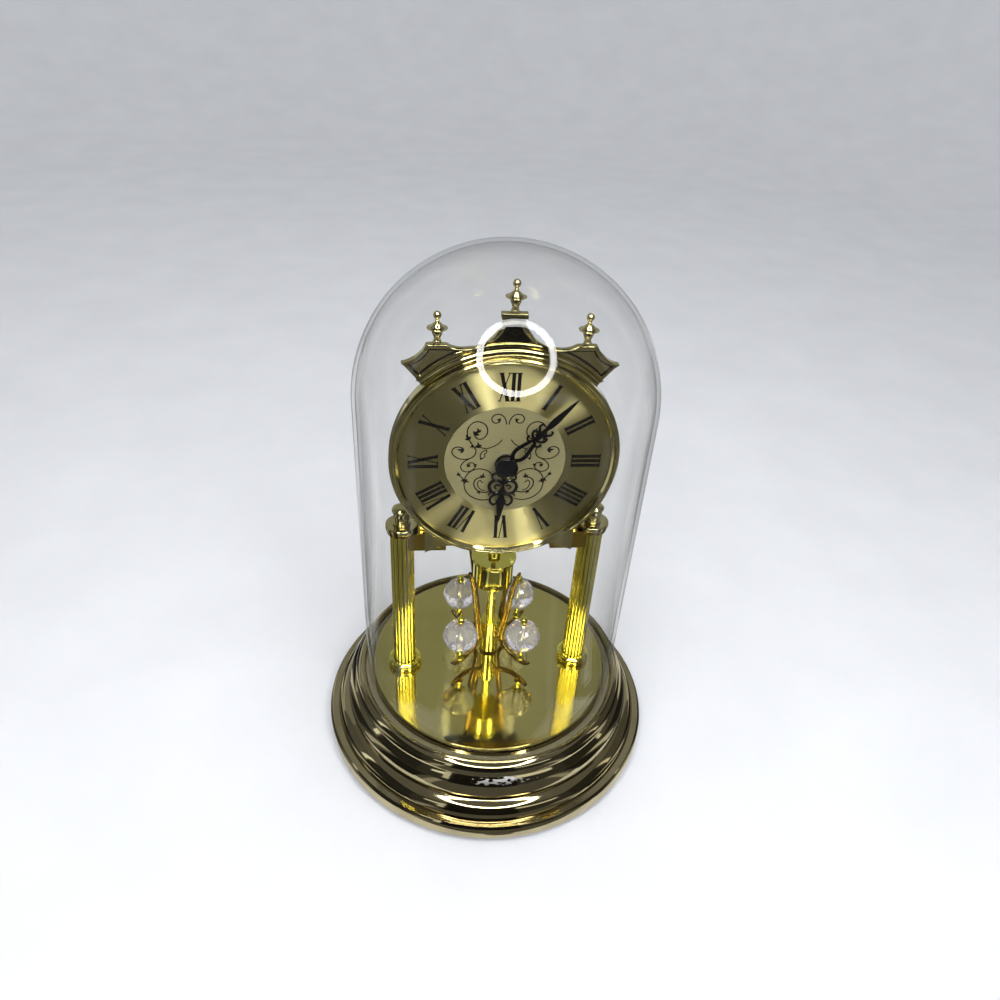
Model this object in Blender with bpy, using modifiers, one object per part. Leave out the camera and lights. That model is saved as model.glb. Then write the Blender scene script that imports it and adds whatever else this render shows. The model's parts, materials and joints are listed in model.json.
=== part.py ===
"""Dome pendulum clock: a quartz movement and a twisting pendulum on two columns, under a glass dome.

Metres, +Z up. The origin is the centre of the base on the table, and the dial faces -Y.
"""

import math

import bmesh
import bpy
from mathutils import Vector

MM = 0.001

# Clearances
SEAT = 0.3 * MM
RUNNING = 0.3 * MM
HALF_PLAY = 1.3 * MM

# Glass dome
DOME_RADIUS = 56.3 * MM
DOME_WALL = 1.4 * MM
HEADROOM = 7.1 * MM

# Spun brass base
BASE_HEIGHT = 32.2 * MM
BASE_WALL = 0.8 * MM
RIM_ROUND = 1.0 * MM
CHANNEL_DEPTH = 3.6 * MM
DECK_HOLE_RADIUS = 14.0 * MM
DECK_LEDGE = 0.4 * MM
RIDGES = (
    (2.7 * MM, 4.6 * MM, 0.8 * MM),
    (3.5 * MM, 10.8 * MM, 1.5 * MM),
    (5.4 * MM, 6.5 * MM, 1.3 * MM),
)
BEAD_OUT = 3.9 * MM
FOOT_IN = 2.6 * MM
FOOT_RING_WIDTH = 4.5 * MM
GASKET_THICKNESS = 0.8 * MM
PLATE_THICKNESS = 1.3 * MM
PLATE_EDGE = 0.4 * MM
COVER_THICKNESS = 1.4 * MM
FELT_THICKNESS = 0.6 * MM
FELT_LIFT = 0.1 * MM

# Columns. Their axes stand COLUMN_GAP out of the dial case's edge at the cap nuts
COLUMN_GAP = 3.84 * MM
COLUMN_Y = -2.9 * MM
COLUMN_RADIUS = 4.95 * MM
COLUMN_HEIGHT = 76.0 * MM
REEDS = 16
REED_DEPTH = 0.45 * MM
REED_FACE = (0.22, 0.78)
COLLAR_RADIUS = 7.5 * MM
COLLAR_HEIGHT = 3.6 * MM
COLLAR_BULGE = 1.2 * MM
COLLAR_TOP_WALL = 0.7 * MM
CAPITAL_RADIUS = 6.6 * MM
CAPITAL_THICKNESS = 2.2 * MM
CAP_NUT_HEIGHT = 8.0 * MM
CAP_NUT_RADIUS = 3.9 * MM
CAP_NUT_SHAPE = (
    (0.0, 1.0),
    (0.5, 0.97),
    (0.87, 0.87),
    (1.0, 0.755),
    (0.93, 0.68),
    (0.68, 0.63),
    (0.78, 0.5),
    (0.84, 0.36),
    (0.80, 0.2),
    (0.70, 0.1),
    (0.9, 0.07),
    (0.92, 0.0),
)
ROD_RADIUS = 1.5 * MM
ROD_IN_CAP = 3.2 * MM
ROD_TAIL = 1.0 * MM
NUT_RADIUS = 3.3 * MM
NUT_HEIGHT = 2.4 * MM
BROKEN_EDGE = 0.5 * MM

# Bridge bar across the columns
BAR_HEIGHT = 8.4 * MM
BAR_DEPTH = 9.3 * MM
BAR_BACK_Y = 1.8 * MM
BAR_END_LAP = 2.8 * MM
EAR_RADIUS = 6.2 * MM
EAR_THICKNESS = 1.2 * MM

# Dial, case and bezel, turned about the hands' axis. The case reaches CASE_SINK down in front of the bar
CASE_RADIUS = 43.5 * MM
CASE_SINK = 7.5 * MM
CASE_LIP = 0.9 * MM
DIAL_FRONT = 10.0 * MM
DIAL_THICKNESS = 0.6 * MM
BEZEL_INSET = 0.9 * MM
BEZEL_WIDTH = 2.5 * MM
BEZEL_PROUD = 1.9 * MM
BEZEL_BEVEL = 0.9 * MM
CASE_WALL = 1.3 * MM
CASE_BACK = 5.0 * MM
CASE_FLOOR = 1.0 * MM
CASE_LEDGE = 1.6 * MM
CENTRE_HOLE = 3.2 * MM
YOKE_HALF_WIDTH = 30.2 * MM
YOKE_INNER_HALF = 21.5 * MM
YOKE_CORNER_UP = 0.2 * MM
YOKE_INNER_TOP = 0.9
YOKE_INNER_UP = 4.0 * MM
YOKE_THICKNESS = 1.2 * MM

# Pediment over the dial
PEDIMENT_DEPTH = 3.0 * MM
PEDIMENT_BACK = 7.5 * MM
PEDIMENT_BORDER = 2.2 * MM
PANEL_DEPTH = 0.8 * MM
COVE_WIDTH = 3.2 * MM
PLINTH_HALF = 4.5 * MM
PLINTH_HEIGHT = 1.9 * MM
PLINTH_COVE = 0.4 * MM
TOWER_RISE = 14.1 * MM
TOWER_TOP_HALF = 3.6 * MM
TOWER_SWEEP = 1.7 * MM
SHOULDER_X = 12.4 * MM
SHOULDER_RISE = 1.6 * MM
SADDLE_X = 17.5 * MM
SADDLE_RISE = 1.2 * MM
WING_TOP_INNER_X = 22.5 * MM
WING_TOP_OUTER_X = 29.5 * MM
WING_RISE = 2.7 * MM
WING_CROWN = 0.2 * MM
WING_SWEEP = 1.3 * MM
WING_TIP_X = 38.1 * MM
WING_TIP_DROP = 4.2 * MM
WING_FOOT_X = 30.8 * MM
FINIAL_X = 25.8 * MM
FINIAL_HEIGHT = 11.0 * MM
FINIAL_FLANGE = 3.7 * MM
FINIAL_SHAPE = (
    (0.0, 1.0),
    (0.23, 0.982),
    (0.38, 0.925),
    (0.38, 0.84),
    (0.27, 0.77),
    (0.12, 0.745),
    (0.23, 0.664),
    (0.135, 0.627),
    (0.28, 0.596),
    (0.50, 0.527),
    (0.66, 0.445),
    (1.0, 0.473),
    (0.4, 0.4),
    (0.30, 0.218),
    (0.24, 0.136),
    (0.41, 0.064),
    (0.41, 0.0),
    (0.0, 0.0),
)

# Movement and its bracket
BRACKET_GAP = 0.7 * MM
BRACKET_ABOVE_DIAL = 8.3 * MM
BRACKET_THICKNESS = 1.2 * MM
BRACKET_FLANGE = 5.2 * MM
HOUSING_WIDTH = 56.0 * MM
HOUSING_DEPTH = 17.5 * MM
HOUSING_WALL = 1.2 * MM
HOUSING_TOP = 28.0 * MM
BATTERY_RADIUS = 7.1 * MM
BATTERY_LENGTH = 49.2 * MM
BATTERY_PIP_RADIUS = 2.6 * MM
BATTERY_PIP = 1.2 * MM
BATTERY_PLAY = 0.35 * MM
COVER_INSET = 1.2 * MM
BOARD_THICKNESS = 1.2 * MM
BOARD_WIDTH = 10.0 * MM
BOARD_HEIGHT = 30.0 * MM
COIL_RADIUS = 3.0 * MM
COIL_LENGTH = 20.0 * MM

# Motion work
MODULE = 0.6 * MM
CANNON_TEETH = 10
SETTING_TEETH = 30
PINION_TEETH = 8
HOUR_TEETH = 32
GEAR_THICKNESS = 1.8 * MM
GEAR_GAP = 0.5 * MM
ARBOR_RADIUS = 1.0 * MM
PIPE_WALL = 0.8 * MM
KNOB_RADIUS = 5.0 * MM
KNOB_LENGTH = 4.0 * MM

# Hands
SHOWN_HOUR = 6
SHOWN_MINUTE = 6.9
HAND_THICKNESS = 0.4 * MM
HAND_GAP = 1.0 * MM
HOUR_HAND_LIFT = 2.2 * MM
HAND_CLEAR = 2.9 * MM
HOUR_SHARE = 0.747
LONG_SWELL = 4.2 * MM
SHORT_SWELL = 5.7 * MM
HAND_NECK = 1.1 * MM
HAND_BOSS_RADIUS = 4.3 * MM
HAND_CAP_HEIGHT = 2.4 * MM
HAND_CAP_EDGE = 0.3 * MM

# Twisting pendulum
PENDULUM_Y = 4.2 * MM
PENDULUM_TURN = math.radians(42.2)
PENDULUM_LIFT = 1.3 * MM
TUBE_RADIUS = 4.5 * MM
TUBE_HEIGHT = 17.7 * MM
HANG_GAP = 9.6 * MM
PENDULUM_ROD_RADIUS = 2.2 * MM
ROD_SOCKET = 8.0 * MM
DRUM_RADIUS = 8.9 * MM
DRUM_HEIGHT = 11.6 * MM
SAUCER_RADIUS = 9.7 * MM
SAUCER_HEIGHT = 1.9 * MM
SAUCER_EDGE = 0.7 * MM
NECK_RADIUS = 3.0 * MM
NECK_HEIGHT = 3.0 * MM
SPINDLE_RADIUS = 1.1 * MM
SPINDLE_IN_NECK = 2.6 * MM
MAGNET_RADIUS = 5.0 * MM
MAGNET_THICKNESS = 3.0 * MM
DRIVE_HEIGHT = 7.4 * MM
DRIVE_HALF_WIDTH = 20.0 * MM
DRIVE_COIL_RADIUS = 2.2 * MM
DRIVE_COIL_LENGTH = 9.0 * MM
DRIVE_COIL_OUT = 12.0 * MM

# Lyre arms and crystals. The blade is in shares of the drum's radius and of the way from hub to drum top,
# the shank in shares of the tube's radius and the same way, and the reach is measured from the crystal's axis
ARMS = 4
ARM_BAR = 2.5 * MM
ARM_THICKNESS = 1.8 * MM
ARM_FOOT_UP = 6.0 * MM
ARM_HUB_UP = 9.4 * MM
ARM_BLADE = ((1.663, 1.014), (1.348, 0.759), (1.168, 0.476), (1.068, 0.326))
ARM_SHANK = ((1.778, 0.16), (1.689, 0.0))
ARM_HEEL = (5.0 * MM, 1.0 * MM)
ARM_REACH = ((-6.6 * MM, -0.9 * MM), (-3.0 * MM, -2.0 * MM), (1.2 * MM, -1.4 * MM), (5.0 * MM, 0.2 * MM))
ARM_DIP = 1.6 * MM
CRYSTAL_RADIUS = 8.0 * MM
CRYSTAL_OUT = 19.6 * MM
CRYSTAL_UP = 20.4 * MM
CRYSTAL_SIDES = 10
CRYSTAL_END = 0.9
PIN_RADIUS = 0.9 * MM
PIN_HEAD_RADIUS = 1.7 * MM
PIN_SEAT_RADIUS = 2.0 * MM
PIN_SEAT_EDGE = 0.4 * MM
PIN_SEAT_HEIGHT = 1.2 * MM
PIN_WAIST_DROP = 2.4 * MM
PIN_FOOT_HEIGHT = 0.6 * MM

# Facets
DOME_STEPS = 36
BASE_STEPS = 36
DIAL_STEPS = 36
ROUND_STEPS = 18
SMALL_STEPS = 10

# Levels of the base, from the table up
DECK_TOP = BASE_HEIGHT - DECK_LEDGE * 2
PLATE_TOP = DECK_TOP + SEAT + PLATE_THICKNESS
CHANNEL_FLOOR = BASE_HEIGHT - CHANNEL_DEPTH
DOME_BOTTOM = CHANNEL_FLOOR + GASKET_THICKNESS + 2 * SEAT
DOME_INNER = DOME_RADIUS - DOME_WALL
PLATE_RADIUS = DOME_INNER - HALF_PLAY
DECK_RADIUS = PLATE_RADIUS - DECK_LEDGE
CHANNEL_RADIUS = DOME_RADIUS + HALF_PLAY

# Gear and bay sizes, and the height of the dial's centre over the bar that the movement needs
HOUR_TIP_RADIUS = MODULE * (HOUR_TEETH / 2 + 0.8)
BAY_HEIGHT = 2 * (BATTERY_RADIUS + BATTERY_PLAY)
BAY_LENGTH = BATTERY_LENGTH + BATTERY_PIP + 2 * BATTERY_PLAY
HOUSING_NEED = HOUR_TIP_RADIUS + 2 * RUNNING + 2 * HOUSING_WALL + BAY_HEIGHT
DIAL_RISE = max(CASE_RADIUS - CASE_SINK, HOUSING_NEED + DRIVE_HEIGHT + 2 * SEAT)
HOUSING_BOTTOM = DIAL_RISE - DRIVE_HEIGHT - 2 * SEAT

# Levels of the works
COLUMN_BOTTOM = PLATE_TOP + SEAT
COLUMN_TOP = COLUMN_BOTTOM + COLUMN_HEIGHT
EAR_BOTTOM = COLUMN_TOP + SEAT
BAR_TOP = EAR_BOTTOM + EAR_THICKNESS
BAR_BOTTOM = BAR_TOP - BAR_HEIGHT
BAR_FRONT_Y = BAR_BACK_Y - BAR_DEPTH
CAPITAL_BOTTOM = BAR_TOP + SEAT
CAP_NUT_BOTTOM = CAPITAL_BOTTOM + CAPITAL_THICKNESS + SEAT
CAP_NUT_TOP = CAP_NUT_BOTTOM + CAP_NUT_HEIGHT
ROD_TOP = CAP_NUT_BOTTOM + ROD_IN_CAP
ROD_NUT_TOP = DECK_TOP - BASE_WALL - SEAT
ROD_BOTTOM = ROD_NUT_TOP - NUT_HEIGHT - ROD_TAIL
DIAL_Z = BAR_TOP + DIAL_RISE
CASE_HALF_AT_NUT = math.sqrt(CASE_RADIUS**2 - (DIAL_Z - CAP_NUT_TOP) ** 2)
COLUMN_X = CASE_HALF_AT_NUT + COLUMN_GAP
BRACKET_HALF_WIDTH = COLUMN_X - CAPITAL_RADIUS - BRACKET_GAP
BEZEL_RADIUS = CASE_RADIUS - BEZEL_INSET
BEZEL_OPENING = BEZEL_RADIUS - BEZEL_WIDTH
MINUTE_LENGTH = BEZEL_OPENING - HAND_CLEAR
HOUR_LENGTH = MINUTE_LENGTH * HOUR_SHARE
FINIAL_TOP = DIAL_Z + CASE_RADIUS + TOWER_RISE + FINIAL_HEIGHT + 2 * SEAT
DOME_TOP = FINIAL_TOP + HEADROOM + DOME_WALL

# Distances in front of the Y = 0 plane for pieces on the hands' axis
BRACKET_FRONT = CASE_BACK - SEAT
HOUSING_FRONT = BRACKET_FRONT - BRACKET_THICKNESS - SEAT
HOUSING_REAR = HOUSING_FRONT - HOUSING_DEPTH
DIAL_BACK = DIAL_FRONT - DIAL_THICKNESS
HOUR_HAND_BACK = DIAL_FRONT + HOUR_HAND_LIFT
MINUTE_HAND_BACK = HOUR_HAND_BACK + HAND_THICKNESS + HAND_GAP
HAND_CAP_BACK = MINUTE_HAND_BACK + HAND_THICKNESS + SEAT
HOUR_GEAR_FRONT = HOUSING_FRONT - HOUSING_WALL - 2 * RUNNING
SETTING_GEAR_FRONT = HOUR_GEAR_FRONT - GEAR_THICKNESS - GEAR_GAP
GEAR_DISTANCE = MODULE * (CANNON_TEETH + SETTING_TEETH) / 2
PIPE_BORE = ARBOR_RADIUS + RUNNING
PIPE_RADIUS = PIPE_BORE + PIPE_WALL
ROOM_BOTTOM = -HOUSING_BOTTOM + 2 * HOUSING_WALL + BAY_HEIGHT
COVER_FRONT = HOUSING_REAR + COVER_INSET

# Levels of the pendulum
TUBE_BOTTOM = PLATE_TOP + PENDULUM_LIFT
TUBE_TOP = TUBE_BOTTOM + TUBE_HEIGHT
NECK_TOP = BAR_BOTTOM - HANG_GAP
SAUCER_TOP = NECK_TOP - NECK_HEIGHT
SAUCER_BOTTOM = SAUCER_TOP - SAUCER_HEIGHT
DRUM_TOP = SAUCER_BOTTOM - SEAT
DRUM_BOTTOM = DRUM_TOP - DRUM_HEIGHT
SPINDLE_BOTTOM = NECK_TOP - SPINDLE_IN_NECK
PENDULUM_BORE = PENDULUM_ROD_RADIUS + SEAT
DRIVE_BOTTOM = BAR_TOP + SEAT
DRIVE_TOP = DIAL_Z - HOUSING_BOTTOM - SEAT
MAGNET_BOTTOM = DRIVE_BOTTOM + HOUSING_WALL + RUNNING

# Colours, roughness and metallic value
FINISHES = {
    "base_brass": ((0.62, 0.52, 0.30), 0.16, 1.0),
    "gold": ((0.86, 0.66, 0.22), 0.16, 1.0),
    "pale_brass": ((0.66, 0.60, 0.38), 0.22, 1.0),
    "plate_brass": ((0.80, 0.70, 0.34), 0.28, 1.0),
    "dial": ((0.74, 0.69, 0.47), 0.35, 0.9),
    "black": ((0.015, 0.014, 0.013), 0.35, 0.0),
    "glass": ((0.95, 0.97, 0.96), 0.02, 0.0),
    "crystal": ((0.96, 0.95, 0.92), 0.03, 0.0),
    "rubber": ((0.03, 0.03, 0.03), 0.8, 0.0),
    "felt": ((0.03, 0.10, 0.05), 0.95, 0.0),
    "movement": ((0.03, 0.03, 0.032), 0.45, 0.0),
    "steel": ((0.55, 0.55, 0.55), 0.3, 1.0),
    "nylon": ((0.85, 0.84, 0.78), 0.5, 0.0),
    "copper": ((0.72, 0.36, 0.18), 0.35, 0.8),
    "board": ((0.05, 0.22, 0.10), 0.5, 0.0),
    "battery": ((0.10, 0.12, 0.16), 0.35, 0.2),
}


def clear_scene():
    for found in list(bpy.data.objects):
        bpy.data.objects.remove(found)


def new_collection(name):
    made = bpy.data.collections.new(name)
    bpy.context.scene.collection.children.link(made)
    return made


def make_material(name):
    colour, roughness, metallic = FINISHES[name]
    made = bpy.data.materials.get(name) or bpy.data.materials.new(name)
    made.use_nodes = True
    shader = made.node_tree.nodes["Principled BSDF"]
    shader.inputs["Base Color"].default_value = (*colour, 1.0)
    shader.inputs["Roughness"].default_value = roughness
    shader.inputs["Metallic"].default_value = metallic
    return made


clear_scene()
PARTS = new_collection("dome_pendulum_clock")
CUTTERS = new_collection("cutters")


def add_object(name, mesh, finish, parent=None, location=(0, 0, 0), rotation=(0, 0, 0)):
    """A mesh as a named part, or as a cutter when it has no finish."""
    made = bpy.data.objects.new(name, mesh)
    made.parent = parent
    made.location = location
    made.rotation_euler = rotation
    if finish is None:
        CUTTERS.objects.link(made)
        made.hide_render = True
        made.display_type = "WIRE"
    else:
        PARTS.objects.link(made)
        mesh.materials.append(make_material(finish))
    return made


def add_empty(name, location, rotation=(0, 0, 0)):
    made = bpy.data.objects.new(name, None)
    made.location = location
    made.rotation_euler = rotation
    PARTS.objects.link(made)
    return made


def arc(start, end, bulge, pieces):
    """Points from start to end on a circular arc that stands bulge out to the left of its chord."""
    start = Vector(start)
    end = Vector(end)
    half = (end - start).length / 2
    sweep = 4 * math.atan(abs(bulge) / half)
    radius = half / math.sin(sweep / 2)
    side = math.copysign(1, bulge)
    left = Vector((start.y - end.y, end.x - start.x)).normalized() * side
    centre = (start + end) / 2 - left * radius * math.cos(sweep / 2)
    first = math.atan2(start.y - centre.y, start.x - centre.x)
    steps = [first - side * sweep * step / pieces for step in range(pieces + 1)]
    return [(centre.x + radius * math.cos(turn), centre.y + radius * math.sin(turn)) for turn in steps]


def circle(radius, sides, centre=(0, 0)):
    steps = [2 * math.pi * step / sides for step in range(sides)]
    return [(centre[0] + radius * math.cos(turn), centre[1] + radius * math.sin(turn)) for turn in steps]


def mirrored(right):
    """The right half of an outline, top to bottom, followed by its mirror image back to the top."""
    return right + [(-x, y) for x, y in reversed(right) if x > 1e-9]


def turned(name, profile, finish, steps, parent=None, location=(0, 0, 0), flat=False):
    """A turned solid: the profile (radius, height) runs down its outer side and back up its bore."""
    mesh = bpy.data.meshes.new(name)
    count = len(profile)
    edges = [(step, step + 1) for step in range(count - 1)]
    if profile[0][0] > 1e-9:
        edges.append((count - 1, 0))
    mesh.from_pydata([(radius, 0, height) for radius, height in profile], edges, [])
    made = add_object(name, mesh, finish, parent, location)
    screw = made.modifiers.new("turn", "SCREW")
    screw.steps = steps
    screw.render_steps = steps
    screw.use_merge_vertices = True
    screw.merge_threshold = 1e-6
    screw.use_smooth_shade = not flat
    return made


def flat_piece(name, outlines, thickness, finish, parent=None, location=(0, 0, 0), rotation=(0, 0, 0)):
    """A flat outline, with any holes after it, given a thickness about its own plane."""
    curve = bpy.data.curves.new(name, "CURVE")
    curve.dimensions = "2D"
    curve.fill_mode = "BOTH"
    curve.extrude = thickness / 2
    for outline in outlines:
        spline = curve.splines.new("POLY")
        spline.points.add(len(outline) - 1)
        for point, (x, y) in zip(spline.points, outline):
            point.co = (x, y, 0, 1)
        spline.use_cyclic_u = True
    guide = bpy.data.objects.new(name + "_outline", curve)
    CUTTERS.objects.link(guide)
    graph = bpy.context.evaluated_depsgraph_get()
    mesh = bpy.data.meshes.new_from_object(guide.evaluated_get(graph))
    bpy.data.objects.remove(guide)
    bm = bmesh.new()
    bm.from_mesh(mesh)
    bmesh.ops.remove_doubles(bm, verts=bm.verts, dist=1e-6)
    bm.to_mesh(mesh)
    bm.free()
    mesh.name = name
    return add_object(name, mesh, finish, parent, location, rotation)


def block(name, low, high, finish, parent=None):
    """A box between two corners."""
    bm = bmesh.new()
    bmesh.ops.create_cube(bm, size=1)
    middle = (Vector(low) + Vector(high)) / 2
    size = Vector(high) - Vector(low)
    bmesh.ops.scale(bm, vec=size, verts=bm.verts)
    mesh = bpy.data.meshes.new(name)
    bm.to_mesh(mesh)
    bm.free()
    return add_object(name, mesh, finish, parent, middle)


def rod(name, radius, low, high, finish, sides, parent=None, location=(0, 0, 0), rotation=(0, 0, 0)):
    """A cylinder on the parent's Z axis from low to high."""
    bm = bmesh.new()
    bmesh.ops.create_cone(bm, cap_ends=True, segments=sides, radius1=radius, radius2=radius, depth=high - low)
    bmesh.ops.translate(bm, vec=(0, 0, (low + high) / 2), verts=bm.verts)
    mesh = bpy.data.meshes.new(name)
    bm.to_mesh(mesh)
    bm.free()
    return add_object(name, mesh, finish, parent, location, rotation)


def combine(target, other, operation):
    step = target.modifiers.new(other.name, "BOOLEAN")
    step.operation = operation
    step.object = other
    step.solver = "EXACT"


def gear_outline(teeth, turn):
    """A toothed outline with clearance all round its teeth. A tooth stands at the angle turn."""
    pitch = MODULE * teeth / 2
    tip = pitch + 0.8 * MODULE
    root = pitch - 1.15 * MODULE
    step = 2 * math.pi / teeth
    points = []
    for tooth in range(teeth):
        middle = turn + tooth * step
        for radius, share in ((root, -0.27), (tip, -0.10), (tip, 0.10), (root, 0.27)):
            angle = middle + share * step
            points.append((radius * math.cos(angle), radius * math.sin(angle)))
    return points


def base_profile():
    rim_edge = (CHANNEL_RADIUS, BASE_HEIGHT - RIM_ROUND)
    rim_out = (CHANNEL_RADIUS + 2 * RIM_ROUND, BASE_HEIGHT - RIM_ROUND)
    points = [(DECK_HOLE_RADIUS, DECK_TOP), (DECK_RADIUS, DECK_TOP), (DECK_RADIUS, CHANNEL_FLOOR)]
    points += [(CHANNEL_RADIUS, CHANNEL_FLOOR)]
    points += arc(rim_edge, rim_out, RIM_ROUND, 3)
    last = rim_out
    for out, drop, bulge in RIDGES:
        corner = (last[0] + out, last[1] - drop)
        points += arc(last, corner, bulge, 2)[1:]
        last = corner
    widest = last[0] + BEAD_OUT
    bead = last[1] / 2
    foot = widest - FOOT_IN
    points += [(widest - BEAD_OUT / 3, last[1]), (widest, last[1] - bead / 2), (widest, bead / 2)]
    points += [(foot, 0), (foot - FOOT_RING_WIDTH, 0)]
    return points


def base_foot_radius():
    widest = CHANNEL_RADIUS + 2 * RIM_ROUND + sum(out for out, drop, bulge in RIDGES) + BEAD_OUT
    return widest - FOOT_IN


def make_base():
    profile = base_profile()
    mesh = bpy.data.meshes.new("base_shell")
    edges = [(step, step + 1) for step in range(len(profile) - 1)]
    mesh.from_pydata([(radius, 0, height) for radius, height in profile], edges, [])
    shell = add_object("base_shell", mesh, "base_brass")
    screw = shell.modifiers.new("turn", "SCREW")
    screw.steps = BASE_STEPS
    screw.render_steps = BASE_STEPS
    screw.use_merge_vertices = True
    screw.merge_threshold = 1e-6
    wall = shell.modifiers.new("wall", "SOLIDIFY")
    wall.thickness = BASE_WALL
    wall.offset = -1
    wall.use_even_offset = True

    plate_edge = (PLATE_RADIUS - PLATE_EDGE, PLATE_TOP)
    plate_profile = [(0, PLATE_TOP), plate_edge, (PLATE_RADIUS, PLATE_TOP - PLATE_EDGE)]
    plate_profile += [(PLATE_RADIUS, DECK_TOP + SEAT), (0, DECK_TOP + SEAT)]
    plate = turned("base_plate", plate_profile, "plate_brass", BASE_STEPS)
    for side in (-1, 1):
        cutter = rod("rod_hole", ROD_RADIUS + SEAT, 0, 2 * BASE_HEIGHT, None, SMALL_STEPS)
        cutter.location = (side * COLUMN_X, COLUMN_Y, 0)
        combine(shell, cutter, "DIFFERENCE")
        combine(plate, cutter, "DIFFERENCE")

    ring_low = CHANNEL_FLOOR + SEAT
    ring_high = ring_low + GASKET_THICKNESS
    ring_in = DECK_RADIUS + HALF_PLAY
    ring_out = CHANNEL_RADIUS - SEAT
    gasket = [(ring_in, ring_high), (ring_out, ring_high), (ring_out, ring_low), (ring_in, ring_low)]
    turned("dome_gasket", gasket, "rubber", BASE_STEPS)

    cover_low = BASE_WALL + SEAT
    cover_high = cover_low + COVER_THICKNESS
    cover_radius = base_foot_radius() - SEAT
    cover = [(0, cover_high), (cover_radius, cover_high), (cover_radius, cover_low)]
    felt_radius = base_foot_radius() - FOOT_RING_WIDTH - SEAT
    cover += [(0, cover_low)]
    turned("bottom_cover", cover, "movement", BASE_STEPS)
    felt_high = FELT_LIFT + FELT_THICKNESS
    felt = [(0, felt_high), (felt_radius, felt_high), (felt_radius, FELT_LIFT), (0, FELT_LIFT)]
    turned("felt_pad", felt, "felt", ROUND_STEPS)


def make_dome():
    spring = DOME_TOP - DOME_RADIUS
    arch = math.sqrt(2) / 2
    outer = arc((0, DOME_TOP), (DOME_RADIUS, spring), DOME_RADIUS * (1 - arch), 8)
    inner = arc((DOME_INNER, spring), (0, DOME_TOP - DOME_WALL), -DOME_INNER * (1 - arch), 8)
    profile = outer + [(DOME_RADIUS, DOME_BOTTOM), (DOME_INNER, DOME_BOTTOM)] + inner
    turned("glass_dome", profile, "glass", DOME_STEPS)


def reeded_outline():
    step = 2 * math.pi / REEDS
    points = []
    for reed in range(REEDS):
        for share, radius in ((0, COLUMN_RADIUS - REED_DEPTH), *((end, COLUMN_RADIUS) for end in REED_FACE)):
            angle = (reed + share) * step
            points.append((radius * math.cos(angle), radius * math.sin(angle)))
    return points


def cap_nut_profile():
    bore = ROD_RADIUS + SEAT
    profile = [(CAP_NUT_RADIUS * out, CAP_NUT_HEIGHT * up) for out, up in CAP_NUT_SHAPE]
    return profile + [(bore, 0), (bore, ROD_IN_CAP + SEAT), (0, ROD_IN_CAP + SEAT)]


def make_column(side, word):
    place = (side * COLUMN_X, COLUMN_Y, 0)
    axis = add_empty("column_axis_" + word, place)
    bore = circle(ROD_RADIUS + SEAT, SMALL_STEPS)
    middle = (0, 0, COLUMN_BOTTOM + COLUMN_HEIGHT / 2)
    flat_piece("column_" + word, [reeded_outline(), bore], COLUMN_HEIGHT, "gold", axis, middle)

    inner = COLUMN_RADIUS + SEAT
    low = COLUMN_BOTTOM
    high = low + COLLAR_HEIGHT
    waist = COLLAR_RADIUS - COLLAR_BULGE
    collar = [(inner, high), (inner + COLLAR_TOP_WALL, high)]
    collar += arc((waist, high - COLLAR_BULGE / 2), (waist, low), COLLAR_BULGE, 4)
    collar.append((inner, low))
    turned("column_foot_" + word, collar, "gold", ROUND_STEPS, axis)

    hole = ROD_RADIUS + SEAT
    low = CAPITAL_BOTTOM
    high = low + CAPITAL_THICKNESS
    edge = BROKEN_EDGE
    disc = [(hole, high), (CAPITAL_RADIUS - edge, high), (CAPITAL_RADIUS, high - edge)]
    disc += [(CAPITAL_RADIUS, low + edge), (CAPITAL_RADIUS - edge, low), (hole, low)]
    turned("capital_" + word, disc, "gold", ROUND_STEPS, axis)

    turned("cap_nut_" + word, cap_nut_profile(), "gold", SMALL_STEPS, axis, (0, 0, CAP_NUT_BOTTOM))
    rod("tie_rod_" + word, ROD_RADIUS, ROD_BOTTOM, ROD_TOP, "steel", SMALL_STEPS, axis)
    nut_middle = (0, 0, ROD_NUT_TOP - NUT_HEIGHT / 2)
    flat_piece("rod_nut_" + word, [circle(NUT_RADIUS, 6), bore], NUT_HEIGHT, "steel", axis, nut_middle)


def make_bridge(axis):
    """A bar between the columns, with a round seat in its front for the dial case."""
    end = COLUMN_X - BAR_END_LAP
    bar = block("bridge_bar", (-end, BAR_FRONT_Y, BAR_BOTTOM), (end, BAR_BACK_Y, BAR_TOP), "pale_brass")
    for side in (-1, 1):
        place = (side * COLUMN_X, COLUMN_Y, 0)
        hollow = rod("column_seat", COLUMN_RADIUS + SEAT, 0, COLUMN_TOP + SEAT, None, ROUND_STEPS)
        hollow.location = place
        combine(bar, hollow, "DIFFERENCE")
        ear = rod("ear", EAR_RADIUS, EAR_BOTTOM, BAR_TOP, None, ROUND_STEPS)
        ear.location = place
        combine(bar, ear, "UNION")
        hole = rod("ear_hole", ROD_RADIUS + SEAT, BAR_BOTTOM, 2 * BAR_TOP, None, SMALL_STEPS)
        hole.location = place
        combine(bar, hole, "DIFFERENCE")
    seat = rod("case_seat", CASE_RADIUS + SEAT, CASE_BACK - SEAT, 2 * DIAL_FRONT, None, 2 * DIAL_STEPS, axis)
    combine(bar, seat, "DIFFERENCE")
    low = (-YOKE_INNER_HALF, 2 * BAR_FRONT_Y, 0)
    under = block("under_case", low, (YOKE_INNER_HALF, SEAT - CASE_BACK, BAR_BOTTOM + YOKE_INNER_UP), None)
    combine(bar, under, "DIFFERENCE")


def dial_axis():
    """Its Z axis points out of the dial, its Y axis up."""
    return add_empty("dial_axis", (0, 0, DIAL_Z), (math.pi / 2, 0, 0))


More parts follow.
